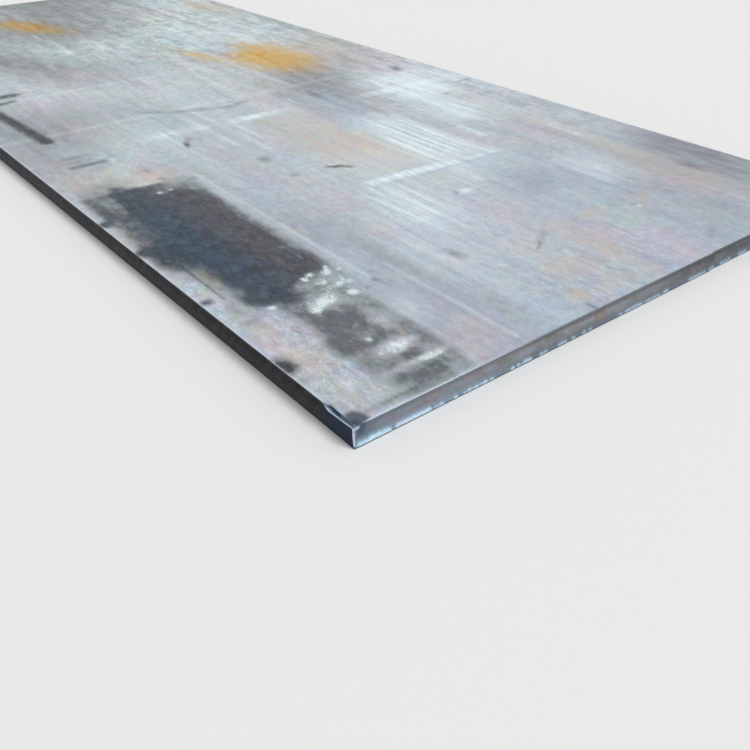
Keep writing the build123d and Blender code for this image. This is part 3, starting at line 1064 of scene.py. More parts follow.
@dataclass
class WashedSide(TrimmedSide):
    """The near long side, with the wash that the flame left beside the corner."""

    wash_length: float = 0.135
    wash_entry: float = 0.025
    deep_drop: float = 0.013
    deep_inset: float = 0.010
    corner_drop: float = 0.008
    corner_inset: float = 0.007

    def washed(self, along: np.ndarray) -> np.ndarray:
        """Return 1 on the washed stretch and 0 past it, with a straight slope between."""
        return np.clip((self.wash_length - along) / self.wash_entry, 0.0, 1.0)

    def edge(self, along: np.ndarray) -> Tuple[np.ndarray, np.ndarray, np.ndarray]:
        """Return the arris, which the wash widens to a sloping facet.

        The facet's inset and drop run straight from the corner to their deepest place, and from
        there to nothing.

        Args:
            along: Distance from the front cut.

        Returns:
            Its inset into the face, its drop down the side, and how flat a facet it is.
        """
        plain_inset, plain_drop, _ = super().edge(along)
        washed = self.washed(along)
        share = np.clip(along / (self.wash_length - self.wash_entry), 0.0, 1.0)
        inset = washed * (self.corner_inset + (self.deep_inset - self.corner_inset) * share)
        drop = washed * (self.corner_drop + (self.deep_drop - self.corner_drop) * share)
        return np.maximum(plain_inset, inset), np.maximum(plain_drop, drop), washed


# The plate


class Zone(Enum):
    """Part of the skin with a finish of its own. Each value is the material's place."""

    FACE = 0
    CUT_END = 1
    TRIMMED_SIDE = 2
    UNDERSIDE = 3


def graded(start: float, end: float, steps: Span) -> np.ndarray:
    """Return places from start to end whose spacing grows evenly.

    With n steps of mean length m, place t of 0 to 1 lies at n (first t + (last - first) t^2/2),
    stretched a little so that the last one falls on the end.

    Args:
        start: First place.
        end: Last place.
        steps: First and last spacing.

    Returns:
        The places.
    """
    first, last = steps
    count = int(round((end - start) / ((first + last) / 2.0)))
    share = np.linspace(0.0, 1.0, count + 1)
    curve = first * share + (last - first) * share * share / 2.0
    return start + (end - start) * curve / curve[-1]


def split(places: np.ndarray, parts: int) -> np.ndarray:
    """Return places with each step between them cut into equal parts, without the last place."""
    share = np.arange(parts) / parts
    return (places[:-1, None] + np.diff(places)[:, None] * share).ravel()


@dataclass
class Faces:
    """Faces gathered for one mesh, each with its zone and whether it is smooth."""

    corners: List[List[int]] = field(default_factory=list)
    zones: List[int] = field(default_factory=list)
    smooth: List[bool] = field(default_factory=list)

    def add(self, made: np.ndarray, zone: Zone, curved: bool) -> None:
        """Keep faces of one zone.

        Args:
            made: Point numbers, one face a row.
            zone: Their zone.
            curved: Whether they are shaded smooth.
        """
        self.corners.extend(made.tolist())
        self.zones.extend([zone.value] * len(made))
        self.smooth.extend([curved] * len(made))

    def sheet(self, index: np.ndarray, zone: Zone) -> None:
        """Keep the quads of a grid of points.

        Args:
            index: Point numbers by row and column.
            zone: The quads' zone.
        """
        upper, lower = index[:-1], index[1:]
        quads = np.stack([upper[:, :-1], lower[:, :-1], lower[:, 1:], upper[:, 1:]], -1)
        self.add(quads.reshape(-1, 4), zone, True)


@dataclass
class Side:
    """One side of the rim: its columns, those at grid places, and the parts between these."""

    first: int
    end: int
    breaks: np.ndarray
    parts: int
    zone: Zone


@dataclass
class Rim:
    """The closed row of columns round the plate, counter-clockwise from the near corner."""

    x: np.ndarray
    y: np.ndarray
    sides: List[Side]


@dataclass
class PlateSkin:
    """The plate's visible surface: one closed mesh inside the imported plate's box."""

    half_width: float
    half_length: float
    thickness: float
    front: FrontCut
    back: CutEnd
    near_side: WashedSide
    far_side: TrimmedSide
    margin: float = 0.014
    corner_blend: float = 0.030
    corner_melt: float = 0.025
    face_wave: float = 0.0004
    wave_border: float = 0.15
    wave_lean: float = 0.1
    wave_across: Ripple = Ripple(51, 0.5, 2.2, 5)
    wave_along: Ripple = Ripple(52, 0.6, 3.0, 5)
    corner_parts: int = 6
    fine_width: float = 0.50
    fine_length: float = 1.90
    column_steps: Tuple[Span, Span] = ((0.007, 0.008), (0.009, 0.028))
    row_steps: Tuple[Span, Span] = ((0.0085, 0.013), (0.013, 0.040))
    restart_clear: float = 0.011
    restart_columns: Tuple[float, ...] = (-0.010, -0.005, 0.0, 0.005, 0.010)
    front_parts: int = 4
    back_parts: int = 1
    near_parts: int = 2
    far_parts: int = 1
    arris_steps: int = 4
    tall_rows: int = 5
    tall_foot: float = 0.020
    levels: Tuple[float, ...] = (0.014, 0.011, 0.0085, 0.006, 0.004, 0.002, 0.0)
    tuck: float = 0.0015
    sharp_angle: float = 38.0

    def face_places(self) -> Tuple[np.ndarray, np.ndarray]:
        """Return where the face grid's lines are, closest together at the near corner.

        Returns:
            The columns' places across and the rows' places along, from the middle.
        """
        a, b = self.half_width - self.margin, self.half_length - self.margin
        fine_a, fine_b = self.fine_width - self.half_width, self.fine_length - self.half_length
        (fine, coarse), (fine_rows, coarse_rows) = self.column_steps, self.row_steps
        across = np.append(graded(-a, fine_a, fine), graded(fine_a, a, coarse)[1:])
        along = np.append(graded(-b, fine_b, fine_rows), graded(fine_b, b, coarse_rows)[1:])
        restart = self.front.restart - self.half_width
        across = across[np.abs(across - restart) > self.restart_clear]
        return np.sort(np.append(across, restart + np.array(self.restart_columns))), along

    def face_height(self, x: np.ndarray, y: np.ndarray) -> np.ndarray:
        """Return the face's height: the thickness less a long shallow wave that ends at the rim.

        The wave is the product of two seeded ripples, one along each axis, and a smooth border.

        Args:
            x: Places across, from the middle.
            y: Places along, from the middle.

        Returns:
            Height above the underside.
        """
        lean, margin, border = self.wave_lean, self.margin, self.wave_border
        wave = self.wave_across.at(x + lean * y) * self.wave_along.at(y - lean * x)
        inner = rise(self.half_width - np.abs(x), margin, border)
        inner = inner * rise(self.half_length - np.abs(y), margin, border)
        return self.thickness - self.face_wave * wave * inner

    def rim(self, columns: np.ndarray, rows: np.ndarray) -> Rim:
        """Return the rim's columns: the grid's edge places, each step cut into parts.

        Args:
            columns: The face grid's places across.
            rows: The face grid's places along.

        Returns:
            The rim, with the column at which each grid place falls.
        """
        a, b = self.half_width, self.half_length
        rim = Rim(np.zeros(0), np.zeros(0), [])
        for places, reach, parts, zone, (ahead_x, ahead_y), (x, y) in (
            (columns, a, self.front_parts, Zone.CUT_END, (1.0, 0.0), (0.0, -b)),
            (rows, b, self.far_parts, Zone.TRIMMED_SIDE, (0.0, 1.0), (a, 0.0)),
            (-columns[::-1], a, self.back_parts, Zone.CUT_END, (-1.0, 0.0), (0.0, b)),
            (-rows[::-1], b, self.near_parts, Zone.TRIMMED_SIDE, (0.0, -1.0), (-a, 0.0)),
        ):
            lead = split(np.array([-reach, places[0]]), self.corner_parts)
            tail = split(np.array([places[-1], reach]), self.corner_parts)
            run = np.concatenate([lead, split(places, parts), tail])
            first = len(rim.x)
            breaks = first + self.corner_parts + parts * np.arange(len(places))
            rim.sides.append(Side(first, first + len(run), breaks, parts, zone))
            rim.x = np.append(rim.x, x + ahead_x * run)
            rim.y = np.append(rim.y, y + ahead_y * run)
        return rim

    def rim_rows(self, rim: Rim) -> Tuple[np.ndarray, np.ndarray]:
        """Return the rim's points, row by row from the face down to the underside.

        A long side's arris shifts points across, an end's shifts them along. Near a corner both
        act, each fading out over the corner blend. The wash's deeper drop fades along the front
        over the corner melt. The arris rows follow a quarter turn where it is round, inset
        (1 - sin t) and drop (1 - cos t), and a straight line where it is a flat facet. Below it
        the rows stand on the sides, moved in or out by each side's own relief.

        Args:
            rim: The rim's columns.

        Returns:
            Points of rows by columns by 3, and the share of the arris at each row.
        """
        near, front = rim.x < 0.0, rim.y < 0.0
        across, along = rim.x + self.half_width, rim.y + self.half_length
        in_x, in_y = self.half_width - np.abs(rim.x), self.half_length - np.abs(rim.y)
        edges = zip(self.near_side.edge(along), self.far_side.edge(along))
        side_inset, side_drop, side_flat = (np.where(near, *pair) for pair in edges)
        end_inset = self.front.worn(across)
        melt = np.where(in_x <= TOUCH, 1.0, 1.0 - rise(in_x, 0.0, self.corner_melt))
        drop = end_inset + (side_drop - end_inset) * melt
        flat = side_flat * melt

        turn = np.linspace(0.0, 1.0, self.arris_steps + 1)[:, None]
        inward = (1.0 - flat) * (1.0 - np.sin(turn * np.pi / 2)) + flat * (1.0 - turn)
        downward = (1.0 - flat) * (1.0 - np.cos(turn * np.pi / 2)) + flat * turn
        arris = self.thickness - downward * drop
        top = arris[-1] - self.tuck
        tall = top + (self.tall_foot - top) * np.linspace(0.0, 1.0, self.tall_rows + 1)[:, None]
        low = np.repeat(np.array(self.levels)[:, None], len(rim.x), axis=1)
        height = np.concatenate([arris, tall, low])
        inward = np.concatenate([inward, np.zeros((len(tall) + len(low), len(rim.x)))])
        sides, ends = (self.near_side, self.far_side), (self.front, self.back)
        side = np.where(near, *[edge.inset(along, height) for edge in sides])
        end = np.where(front, *[cut.inset(across, height) for cut in ends])
        x_in = (side + inward * side_inset) * np.clip(1.0 - in_x / self.corner_blend, 0.0, 1.0)
        y_in = (end + inward * end_inset) * np.clip(1.0 - in_y / self.corner_blend, 0.0, 1.0)
        x, y = rim.x - np.sign(rim.x) * x_in, rim.y - np.sign(rim.y) * y_in
        worn = np.zeros(len(height))
        worn[: self.arris_steps + 1] = 1.0
        return np.stack([x, y, height], -1), worn

    def join_face(self, faces: Faces, grid: np.ndarray, rim: Rim, top: np.ndarray) -> None:
        """Add the strip of faces between the face grid and the rim's top row.

        Each grid edge takes one face with all rim columns opposite it, and each corner of the
        grid takes one with the columns round that corner.

        Args:
            faces: Where the faces go.
            grid: The grid's point numbers by row and column.
            rim: The rim's columns.
            top: The point numbers of the rim's top row.
        """
        borders = grid[0, :], grid[:, -1], grid[-1, ::-1], grid[::-1, 0]
        following = rim.sides[1:] + rim.sides[:1]
        for border, side, after in zip(borders, rim.sides, following):
            outer = top[side.breaks[:-1, None] + np.arange(side.parts + 1)]
            strip = np.concatenate([outer, border[1:, None], border[:-1, None]], axis=1)
            faces.add(strip, Zone.FACE, False)
            last = side.breaks[-1]
            bend = (last + np.arange((after.breaks[0] - last) % len(top) + 1)) % len(top)
            faces.add(np.append(top[bend], border[-1])[None, :], Zone.FACE, False)

    def build(self, name: str, marks: Dict[Pigment, List[Mark]]) -> bpy.types.Object:
        """Build the skin and write the marks to it.

        Args:
            name: The object's name.
            marks: Marks on the face by pigment.

        Returns:
            The new object, with its zones set and no materials yet.
        """
        columns, rows = self.face_places()
        rim = self.rim(columns, rows)
        ring, worn = self.rim_rows(rim)
        grid_x, grid_y = np.meshgrid(columns, rows)
        grid = np.stack([grid_x, grid_y, self.face_height(grid_x, grid_y)], -1)
        points = np.concatenate([grid.reshape(-1, 3), ring.reshape(-1, 3)])
        inner = np.arange(grid_x.size).reshape(grid_x.shape)
        outer = grid_x.size + np.arange(ring[..., 0].size).reshape(ring.shape[:2])

        faces = Faces()
        faces.sheet(inner.T, Zone.FACE)
        self.join_face(faces, inner, rim, outer[0])
        wrapped = np.concatenate([outer, outer[:, :1]], axis=1)
        for side in rim.sides:
            faces.sheet(wrapped[:, side.first : side.end + 1], side.zone)
        faces.add(outer[-1:, ::-1], Zone.UNDERSIDE, False)

        mesh = bpy.data.meshes.new(name)
        mesh.from_pydata(points.tolist(), [], faces.corners)
        mesh.polygons.foreach_set("material_index", np.array(faces.zones, np.int32))
        mesh.polygons.foreach_set("use_smooth", np.array(faces.smooth, bool))
        mesh.update()
        mesh.set_sharp_from_angle(angle=math.radians(self.sharp_angle))
        across, along = points[:, 0] + self.half_width, points[:, 1] + self.half_length
        for pigment, shapes in marks.items():
            self.write(mesh, pigment, cover(shapes, across, along))
        self.write_rim(mesh, rim, worn)
        return link(name, mesh)

    def write_rim(self, mesh: bpy.types.Mesh, rim: Rim, worn: np.ndarray) -> None:
        """Write the wear of the arris, the wash and the slag to the rim's points.

        Args:
            mesh: The skin's mesh, whose last points are the rim's.
            rim: The rim's columns.
            worn: Share of the arris at each row.
        """
        across, along = rim.x + self.half_width, rim.y + self.half_length
        slag = np.where(rim.y < 0.0, self.front.slag(across)[1], self.back.slag(across)[1])
        washed = np.where(across <= TOUCH, self.near_side.washed(along), 0.0)
        lowest = np.zeros_like(worn)
        lowest[self.arris_steps] = 1.0
        for trace, column, row in (
            (Trace.WORN, np.ones_like(across), worn),
            (Trace.WASH, washed, worn),
            (Trace.BRIM, washed, lowest),
            (Trace.SLAG, slag, np.ones_like(worn)),
        ):
            values = np.zeros(len(mesh.vertices))
            values[-worn.size * across.size :] = np.outer(row, column).ravel()
            self.write(mesh, trace, values)

    def write(self, mesh: bpy.types.Mesh, name: Enum, values: np.ndarray) -> None:
        """Write one number for each point under a name."""
        attribute = mesh.attributes.new(name.value, "FLOAT", "POINT")
        attribute.data.foreach_set("value", values.astype(np.float32))


# Finishes


@dataclass(frozen=True)
class MillScaleFace:
    """The rolled face: pale oxide with lengthwise streaks, and the marks the mesh carries, with
    sky reflection painted into its tone and pale patches and a highlight painted along its edges.
    """

    half_width: float
    half_length: float
    # Bare scale from the near end to the far end; the far end's lighter, greener tone is painted
    # sky reflection
    near: Colour = tone(176, 185, 198)
    middle: Colour = tone(184, 193, 201)
    far: Colour = tone(186, 200, 201)
    pink: Colour = tone(194, 182, 192)
    cyan: Colour = tone(178, 202, 214)
    green: Colour = tone(176, 193, 184)
    beige: Colour = tone(208, 187, 164)
    frost_and_sheen_white: Colour = tone(228, 244, 250)
    grey: Colour = tone(116, 117, 124)
    grey_blue: Colour = tone(96, 120, 152)
    rust_pale: Colour = tone(206, 180, 108)
    rust_deep: Colour = tone(202, 154, 70)
    film_blue: Colour = tone(42, 64, 82)
    film_brown: Colour = tone(74, 75, 83)
    film_green: Colour = tone(66, 78, 78)
    haze_brown: Colour = tone(92, 95, 101)
    haze_green: Colour = tone(110, 118, 113)
    smudge_dark: Colour = tone(34, 38, 43)
    chalk_white: Colour = tone(220, 234, 236)
    burnt: Colour = tone(68, 74, 86)
    # Painted highlight along the face's edges
    rim_highlight: Colour = tone(206, 218, 234)
    specular: float = 0.10
    bump_depth: float = 0.0003

    def ground(self, bench: Bench, x: Signal, y: Signal) -> Tuple[Signal, Signal, Signal]:
        """Return the bare scale's colour, its lengthwise streaks and its grain.

        Args:
            bench: Where the nodes go.
            x: Place across, from the middle.
            y: Place along, from the middle.

        Returns:
            The colour, then the streaks and the grain about 0.
        """
        streaks = bench.noise((70, 1.3, 1), 3, 0.6) - 0.5
        bands = bench.noise((11, 0.6, 1)) - 0.5
        grain = bench.noise((34, 22, 1), 5, 0.84) - 0.5
        specks = bench.noise((130, 100, 1), 2, 0.7) - 0.5
        mottle = bench.noise((13, 7, 1), 4, 0.62) - 0.5
        clouds = bench.noise((2.8, 1.5, 1), 4, 0.6, warp=0.5) - 0.5
        drift = bench.noise((6, 2, 2)) - 0.5
        chatter = bench.noise((0.5, 26, 1), 2) - 0.5
        colour = bench.over(
            self.near,
            # Painted sky reflection: the scale turns lighter and greener along the plate
            (y.step(-2.8, -0.6), self.middle),
            (y.step(-0.4, 2.0), self.far),
            (clouds.step(0.00, 0.16) * 0.50, self.pink),
            (clouds.step(-0.02, -0.16) * 0.45, self.cyan),
            (mottle.step(0.04, 0.20) * 0.25, self.beige),
            (drift.step(0.02, 0.18) * 0.35, self.green),
        )
        colour = bench.tinge(
            colour, ((5, 2.5, 1), 0.16), ((30, 18, 1), 0.16), ((110, 70, 1), 0.14)
        )
        away = (x + y * 0.8).step(-1.3, 1.3)
        shade = streaks * (clouds.step(-0.10, 0.10) * 0.35 + 0.12) + bands * (away * 0.3 + 0.36)
        shade = shade + mottle * (away * 0.5 + 0.28) + clouds * 0.12 + chatter * 0.10
        shade = shade + grain * 0.85 + specks * 0.30
        return bench.lit(colour, 1.0 + shade * (away * 0.8 + 1.0)), streaks, grain

    def make(self) -> bpy.types.Material:
        """Build the material.

        Returns:
            The material.
        """
        bench = Bench(bpy.data.materials.new("mill_scale_face"))
        x, y, _ = bench.axes()
        colour, hair, grain = self.ground(bench, x, y)
        fray = bench.noise((36, 15, 1), 5, 0.66) - 0.5
        blotch = bench.noise((17, 12, 1), 4, 0.64) - 0.5
        fleck = bench.noise((120, 80, 1), 3, 0.66) - 0.5
        bloom = bench.noise((22, 4, 1), 4, 0.62) - 0.5
        brush = bench.noise((38, 1.8, 1), 4, 0.62) - 0.5
        slate = bench.mark(Pigment.SLATE)

        gritty = bench.tinge(colour, ((11, 7, 1), 0.30), ((34, 24, 1), 0.30), ((110, 80, 1), 0.16))
        gritty = bench.lit(gritty, 1.11 + fray * 1.5 + fleck * 1.1)
        shade = bench.mark(Pigment.SHADE) * (0.9 + bloom * 1.6 + fleck * 0.6)
        earth = bench.mark(Pigment.EARTH) * (0.75 + bloom * 2.2 + brush * 3.0 + fleck)
        # Polished pale scale with painted sky reflection
        frost_and_sheen = bench.mark(Pigment.FROST_AND_SHEEN) * (0.95 + brush * 3.2 + grain * 1.2)
        rust_mark = bench.mark(Pigment.RUST)
        rust = (rust_mark + bloom + blotch * 0.7 + fray * 0.3 + fleck * 0.3).step(0.02, 1.02)
        rust = rust * rust_mark.step(0.0, 0.15) * 0.88
        rusty = bench.over(self.rust_pale, ((bloom + fray).step(-0.25, 0.25), self.rust_deep))
        rusty = bench.lit(rusty, 1.0 - shade * 0.20)

        haze_mark = bench.mark(Pigment.HAZE)
        haze = haze_mark * (1.06 + fray * 2.0 + blotch * 1.8 + fleck * 0.7)
        thick = (haze_mark + blotch).step(0.55, 1.10)
        haze_tint = bench.over(self.haze_green, (thick, self.haze_brown))
        haze_tint = bench.lit(bench.tinge(haze_tint, ((26, 18, 1), 0.55)), 1.0 + grain * 1.3)
        film = bench.mark(Pigment.FILM) * (1.32 + fray * 1.7 + blotch * 1.3 + fleck * 0.8)
        film = film.step(0.04, 1.02)
        greenish = blotch.step(0.00, 0.16) * 0.35
        film_tint = bench.over(self.film_brown, (slate, self.film_blue))
        film_tint = bench.over(film_tint, (greenish, self.film_green))
        film_tint = bench.tinge(film_tint, ((22, 12, 1), 0.6), ((80, 50, 1), 0.45))
        film_light = 0.94 + hair * 0.8 + fray * 1.8 + blotch * 2.0 + grain * 2.0
        smudge = bench.mark(Pigment.SMUDGE) * (1.05 + fray * 1.8 + fleck * 1.5)
        burn = (bench.mark(Pigment.BURN) + fleck * 0.5 + blotch * 0.4).step(0.20, 0.85)
        chalk = bench.mark(Pigment.CHALK) * (1.02 + fleck * 2.4 + fray * 2.2 + grain * 0.6)
        chalk = chalk.step(0.12, 0.98) * 0.92

        # Painted highlight: a pale strip and line along the face's edges, dimmed along the front
        # past the corner and where the film or the burn lies
        inward = (self.half_width - abs(x)).least(self.half_length - abs(y))
        strip = (inward + fray * 0.030 + fleck * 0.015).step(0.013, 0.002) * 0.35
        rim = (inward + fleck * 0.004).step(0.005, 0.002) * 0.55
        front_only = (y + self.half_length).step(0.030, 0.010)
        dim = 1.0 - front_only * (x + self.half_width + fray * 0.3).step(0.12, 0.30)
        bare = (strip + rim) * dim * (1.0 - film * 0.8) * (1.0 - burn * 0.9)
        colour = bench.over(
            colour,
            (bench.mark(Pigment.GRIT), gritty),
            (shade * 0.74, bench.over(self.grey, (slate, self.grey_blue))),
            (earth * 0.64, self.beige),
            (frost_and_sheen.least(1.0), self.frost_and_sheen_white),
            (rust, rusty),
            (haze.least(0.94), haze_tint),
            (film * 0.97, bench.lit(film_tint, film_light)),
            ((smudge * 0.85).least(0.92), self.smudge_dark),
            (burn * 0.85, self.burnt),
            (chalk, self.chalk_white),
            (bare, self.rim_highlight),
        )
        dull = rust.most(chalk)
        roughness = 0.46 + hair * 0.30 + dull * 0.35 + blotch * 0.15
        metallic = (1.0 - dull) * (1.0 - film) * (1.0 - haze * 0.6) * 0.35
        height = hair * 0.4 + fleck + blotch * 0.5 + rust * 0.6
        return bench.finish(colour, roughness, metallic, height, self.bump_depth, self.specular)


@dataclass(frozen=True)
class FlameCutEnd:
    """A cut end: grey steel with brown and olive patches, a bluish foot, slag with painted sky
    glints and a painted contact shadow at the very foot.

    The grey darkens along the cut, and the near corner has a facet made pale with a painted
    highlight, a dark notch in it and a painted shadow beside it.
    """

    thickness: float
    half_width: float
    drag_lag: float
    grey: Colour = tone(126, 130, 136)
    pale: Colour = tone(138, 143, 150)
    far_grey: Colour = tone(80, 83, 88)
    far_pale: Colour = tone(91, 94, 99)
    brown: Colour = tone(136, 124, 124)
    olive: Colour = tone(112, 114, 96)
    far_olive: Colour = tone(88, 87, 68)
    rust: Colour = tone(158, 130, 104)
    slate: Colour = tone(122, 132, 146)
    dusk: Colour = tone(98, 102, 112)
    far_dusk: Colour = tone(66, 70, 76)
    blue: Colour = tone(130, 148, 164)
    far_blue: Colour = tone(99, 113, 127)
    deep: Colour = tone(92, 104, 116)
    glow: Colour = tone(146, 174, 198)
    slag_glint_white: Colour = tone(206, 238, 255)
    slag_glint_lilac: Colour = tone(214, 222, 250)
    foot_contact_shadow: Colour = tone(64, 78, 96)
    lip_pale: Colour = tone(198, 212, 226)
    lip_dark: Colour = tone(134, 141, 151)
    facet_highlight: Colour = tone(204, 214, 236)
    facet_shadow_blue: Colour = tone(50, 66, 96)
    burnt: Colour = tone(60, 72, 86)
    facet_edge: float = 0.024
    notch_height: float = 0.053
    bump_depth: float = 0.0006
    specular: float = 0.3

    def make(self) -> bpy.types.Material:
        """Build the material.

        Returns:
            The material.
        """
        bench = Bench(bpy.data.materials.new("flame_cut_end"))
        x, _, z = bench.axes()
        across, top = x + self.half_width, self.thickness
        depth = 1.0 - z * (1.0 / top)
        trailing = {0: x - depth * depth * self.drag_lag, 1: 0.0, 2: z}
        lagged = bench.node("ShaderNodeCombineXYZ", {}, trailing)
        drag = bench.noise((330, 1, 6), 3, 0.62, place=lagged) - 0.5
        patches = bench.noise((9, 1, 16), 4, 0.62, place=lagged)
        broad = bench.noise((12, 1, 30), 4, 0.6)
        spots = bench.noise((70, 1, 70), 4, 0.62)
        fine = bench.noise((260, 1, 260), 3, 0.65)
        sway, speck, dust = broad - 0.5, spots - 0.5, fine - 0.5

        near = across.step(0.60, 0.05)
        far = (across + sway * 0.4).step(1.15, 1.48)
        mottled = broad.step(0.40, 0.62)
        dusk = (z + sway * 0.016).step(top - 0.024, top - 0.010)
        dusk_tint = bench.over(self.dusk, (across.step(0.45, 0.90), self.far_dusk))
        dark_end = (across + sway * 0.10).step(0.105, 0.035)
        low = (z + sway * 0.024).step(0.036, 0.012)
        low_tint = bench.over(self.blue, (across.step(0.30, 0.75), self.far_blue))
        colour = bench.over(
            self.grey,
            (mottled, self.pale),
            (far, bench.over(self.far_grey, (mottled, self.far_pale))),
            (patches.step(0.52, 0.62) * (1.0 - far * 0.6), self.brown),
            (patches.step(0.47, 0.35) * 0.60, bench.over(self.olive, (far, self.far_olive))),
            ((patches + spots).step(1.16, 1.34) * 0.35, self.rust),
            (near * 0.55, self.slate),
            (dusk * 0.60, dusk_tint),
            (dark_end * 0.80, self.deep),
            (low * 0.80, low_tint),
        )
        colour = bench.tinge(colour, ((60, 1, 60), 0.45), ((240, 1, 200), 0.40))
        colour = bench.lit(colour, 1.0 + drag * 0.50)

        slag = bench.mark(Trace.SLAG)
        there = slag.step(0.0005, 0.004)
        ragged = slag - z + speck * 0.016 + dust * 0.006
        glow = ragged.step(-0.018, 0.004) * there
        # Painted sky glints: the slag's bright white and lilac
        slag_glint = ragged.step(-0.006, 0.007) * there * (1.0 - across.step(0.48, 0.70) * 0.45)
        slag_glint_tint = bench.over(self.slag_glint_white, (broad.step(0.46, 0.60), self.slag_glint_lilac))
        # Painted contact shadow along the lowest few millimetres of the cut
        foot = (z + speck * 0.002).step(0.0044, 0.0020)

        # Painted shadow beside the corner facet
        past_facet = across - self.facet_edge
        beside = past_facet.step(0.022, 0.004) * past_facet.step(-0.016, -0.008)
        shadow = beside * z.step(0.020, 0.055) * (1.0 - slag_glint)
        # Painted highlight on the corner facet, brightest in a crossbar at its top and broken by
        # the dark notch
        highlight_crossbar = (z - across * 0.5).step(top - 0.026, top - 0.017)
        highlight_crossbar = highlight_crossbar * across.step(self.facet_edge, 0.014)
        highlight_crossbar = highlight_crossbar * z.step(top - 0.001, top - 0.004)
        facet = (across + speck * 0.006 - z * 0.08).step(0.0055, 0.0025)
        notch = (abs(z - self.notch_height) + dust * 0.004).step(0.0075, 0.0035) * 0.7
        facet = (facet * (1.0 - notch)).most(highlight_crossbar) * z.step(0.005, 0.009)

        worn = bench.mark(Trace.WORN).step(0.15, 0.65)
        lip_fade = (across + speck * 0.3).step(0.30, 0.80)
        corner = across.step(0.060, 0.020)
        lip = bench.over(self.lip_pale, (lip_fade, self.lip_dark), (corner, self.burnt))
        colour = bench.over(
            colour,
            (glow * (0.25 + near * 0.5), self.glow),
            (slag_glint * (0.30 + spots * 0.6 + fine * 0.5), slag_glint_tint),
            (foot * 0.90, self.foot_contact_shadow),
            (shadow * 0.75, self.facet_shadow_blue),
            (facet * (0.45 + spots * 0.7), self.facet_highlight),
            (worn * (0.5 + fine * 0.6), lip),
        )
        height = drag * 0.8 + spots * 0.5 + fine * 0.3
        roughness = 0.56 - slag_glint * 0.16 + speck * 0.2
        metallic = 0.12 + slag_glint * 0.2
        return bench.finish(colour, roughness, metallic, height, self.bump_depth, self.specular)


@dataclass(frozen=True)
class TrimmedSideFinish:
    """A long side: dark brown-black steel, a little lighter towards its foot, with a painted
    highlight along its lower arris.
    """

    thickness: float
    half_length: float
    dark: Colour = tone(28, 26, 29)
    brown: Colour = tone(58, 46, 38)
    olive: Colour = tone(40, 46, 36)
    foot: Colour = tone(60, 64, 70)
    lower_arris_highlight: Colour = tone(60, 63, 69)
    violet: Colour = tone(36, 32, 48)
    navy: Colour = tone(34, 48, 68)
    edge_pale: Colour = tone(150, 164, 186)
    wash_white: Colour = tone(170, 190, 214)
    wash_grey: Colour = tone(84, 102, 116)
    wash_dark: Colour = tone(36, 48, 78)
    line_pale: Colour = tone(200, 218, 236)
    stroke_lean: float = 0.7
    wash_middle: float = 0.088
    bump_depth: float = 0.0005
    specular: float = 0.12

    def make(self) -> bpy.types.Material:
        """Build the material.

        Returns:
            The material.
        """
        bench = Bench(bpy.data.materials.new("trimmed_side"))
        _, y, z = bench.axes()
        along, top = y + self.half_length, self.thickness
        turned = {0: 0.0, 1: y + z * self.stroke_lean, 2: z}
        leaning = bench.node("ShaderNodeCombineXYZ", {}, turned)
        strokes = bench.noise((1, 90, 5), 4, 0.66, place=leaning)
        sweeps = bench.noise((1, 22, 3), 3, 0.6, place=leaning)
        broad = bench.noise((1, 4, 12), 4, 0.6)
        patches = bench.noise((1, 9, 20), 4, 0.65)
        spots = bench.noise((70, 70, 70), 3, 0.62)
        fine = bench.noise((220, 220, 220), 2, 0.6)
        speck = spots - 0.5
        colour = bench.over(
            self.dark,
            (sweeps.step(0.46, 0.62) * 0.7, self.brown),
            (patches.step(0.54, 0.66) * 0.7, self.olive),
            (sweeps.step(0.46, 0.34) * 0.7, self.violet),
            ((z + (broad - 0.5) * 0.03).step(0.056, 0.016) * 0.75, self.foot),
            # Painted highlight along the lower arris
            ((z + speck * 0.006).step(0.013, 0.007) * 0.60, self.lower_arris_highlight),
        )
        colour = bench.tinge(colour, ((60, 60, 60), 0.5), ((240, 200, 200), 0.5))
        colour = bench.lit(colour, 1.0 + (strokes - 0.5) * 1.1 + (sweeps - 0.5) * 0.7)

        frayed = along + speck * 0.03
        wash = bench.mark(Trace.WASH).step(0.25, 0.75)
        upper = (z + speck * 0.004).step(top - 0.0090, top - 0.0050)
        navy = (abs(along - self.wash_middle) + speck * 0.02).step(0.036, 0.020) * upper
        tempered = bench.over(
            self.wash_grey,
            (frayed.step(0.080, 0.118), self.wash_white),
            (navy * 0.90, self.wash_dark),
        )
        tempered = bench.tinge(tempered, ((200, 160, 160), 0.5))
        worn = bench.mark(Trace.WORN).step(0.55, 0.95) * (1.0 - wash)
        colour = bench.over(
            colour,
            (frayed.step(0.155, 0.105) * 0.75, self.navy),
            (wash * 0.95, tempered),
            (bench.mark(Trace.BRIM).step(0.0, 0.30) * 0.80, self.line_pale),
            (worn * (0.1 + fine * 0.6), self.edge_pale),
        )
        height = strokes * 0.6 + spots + fine * 0.4
        roughness = 0.55 + speck * 0.3
        metallic = 0.05 + wash * 0.25
        return bench.finish(colour, roughness, metallic, height, self.bump_depth, self.specular)


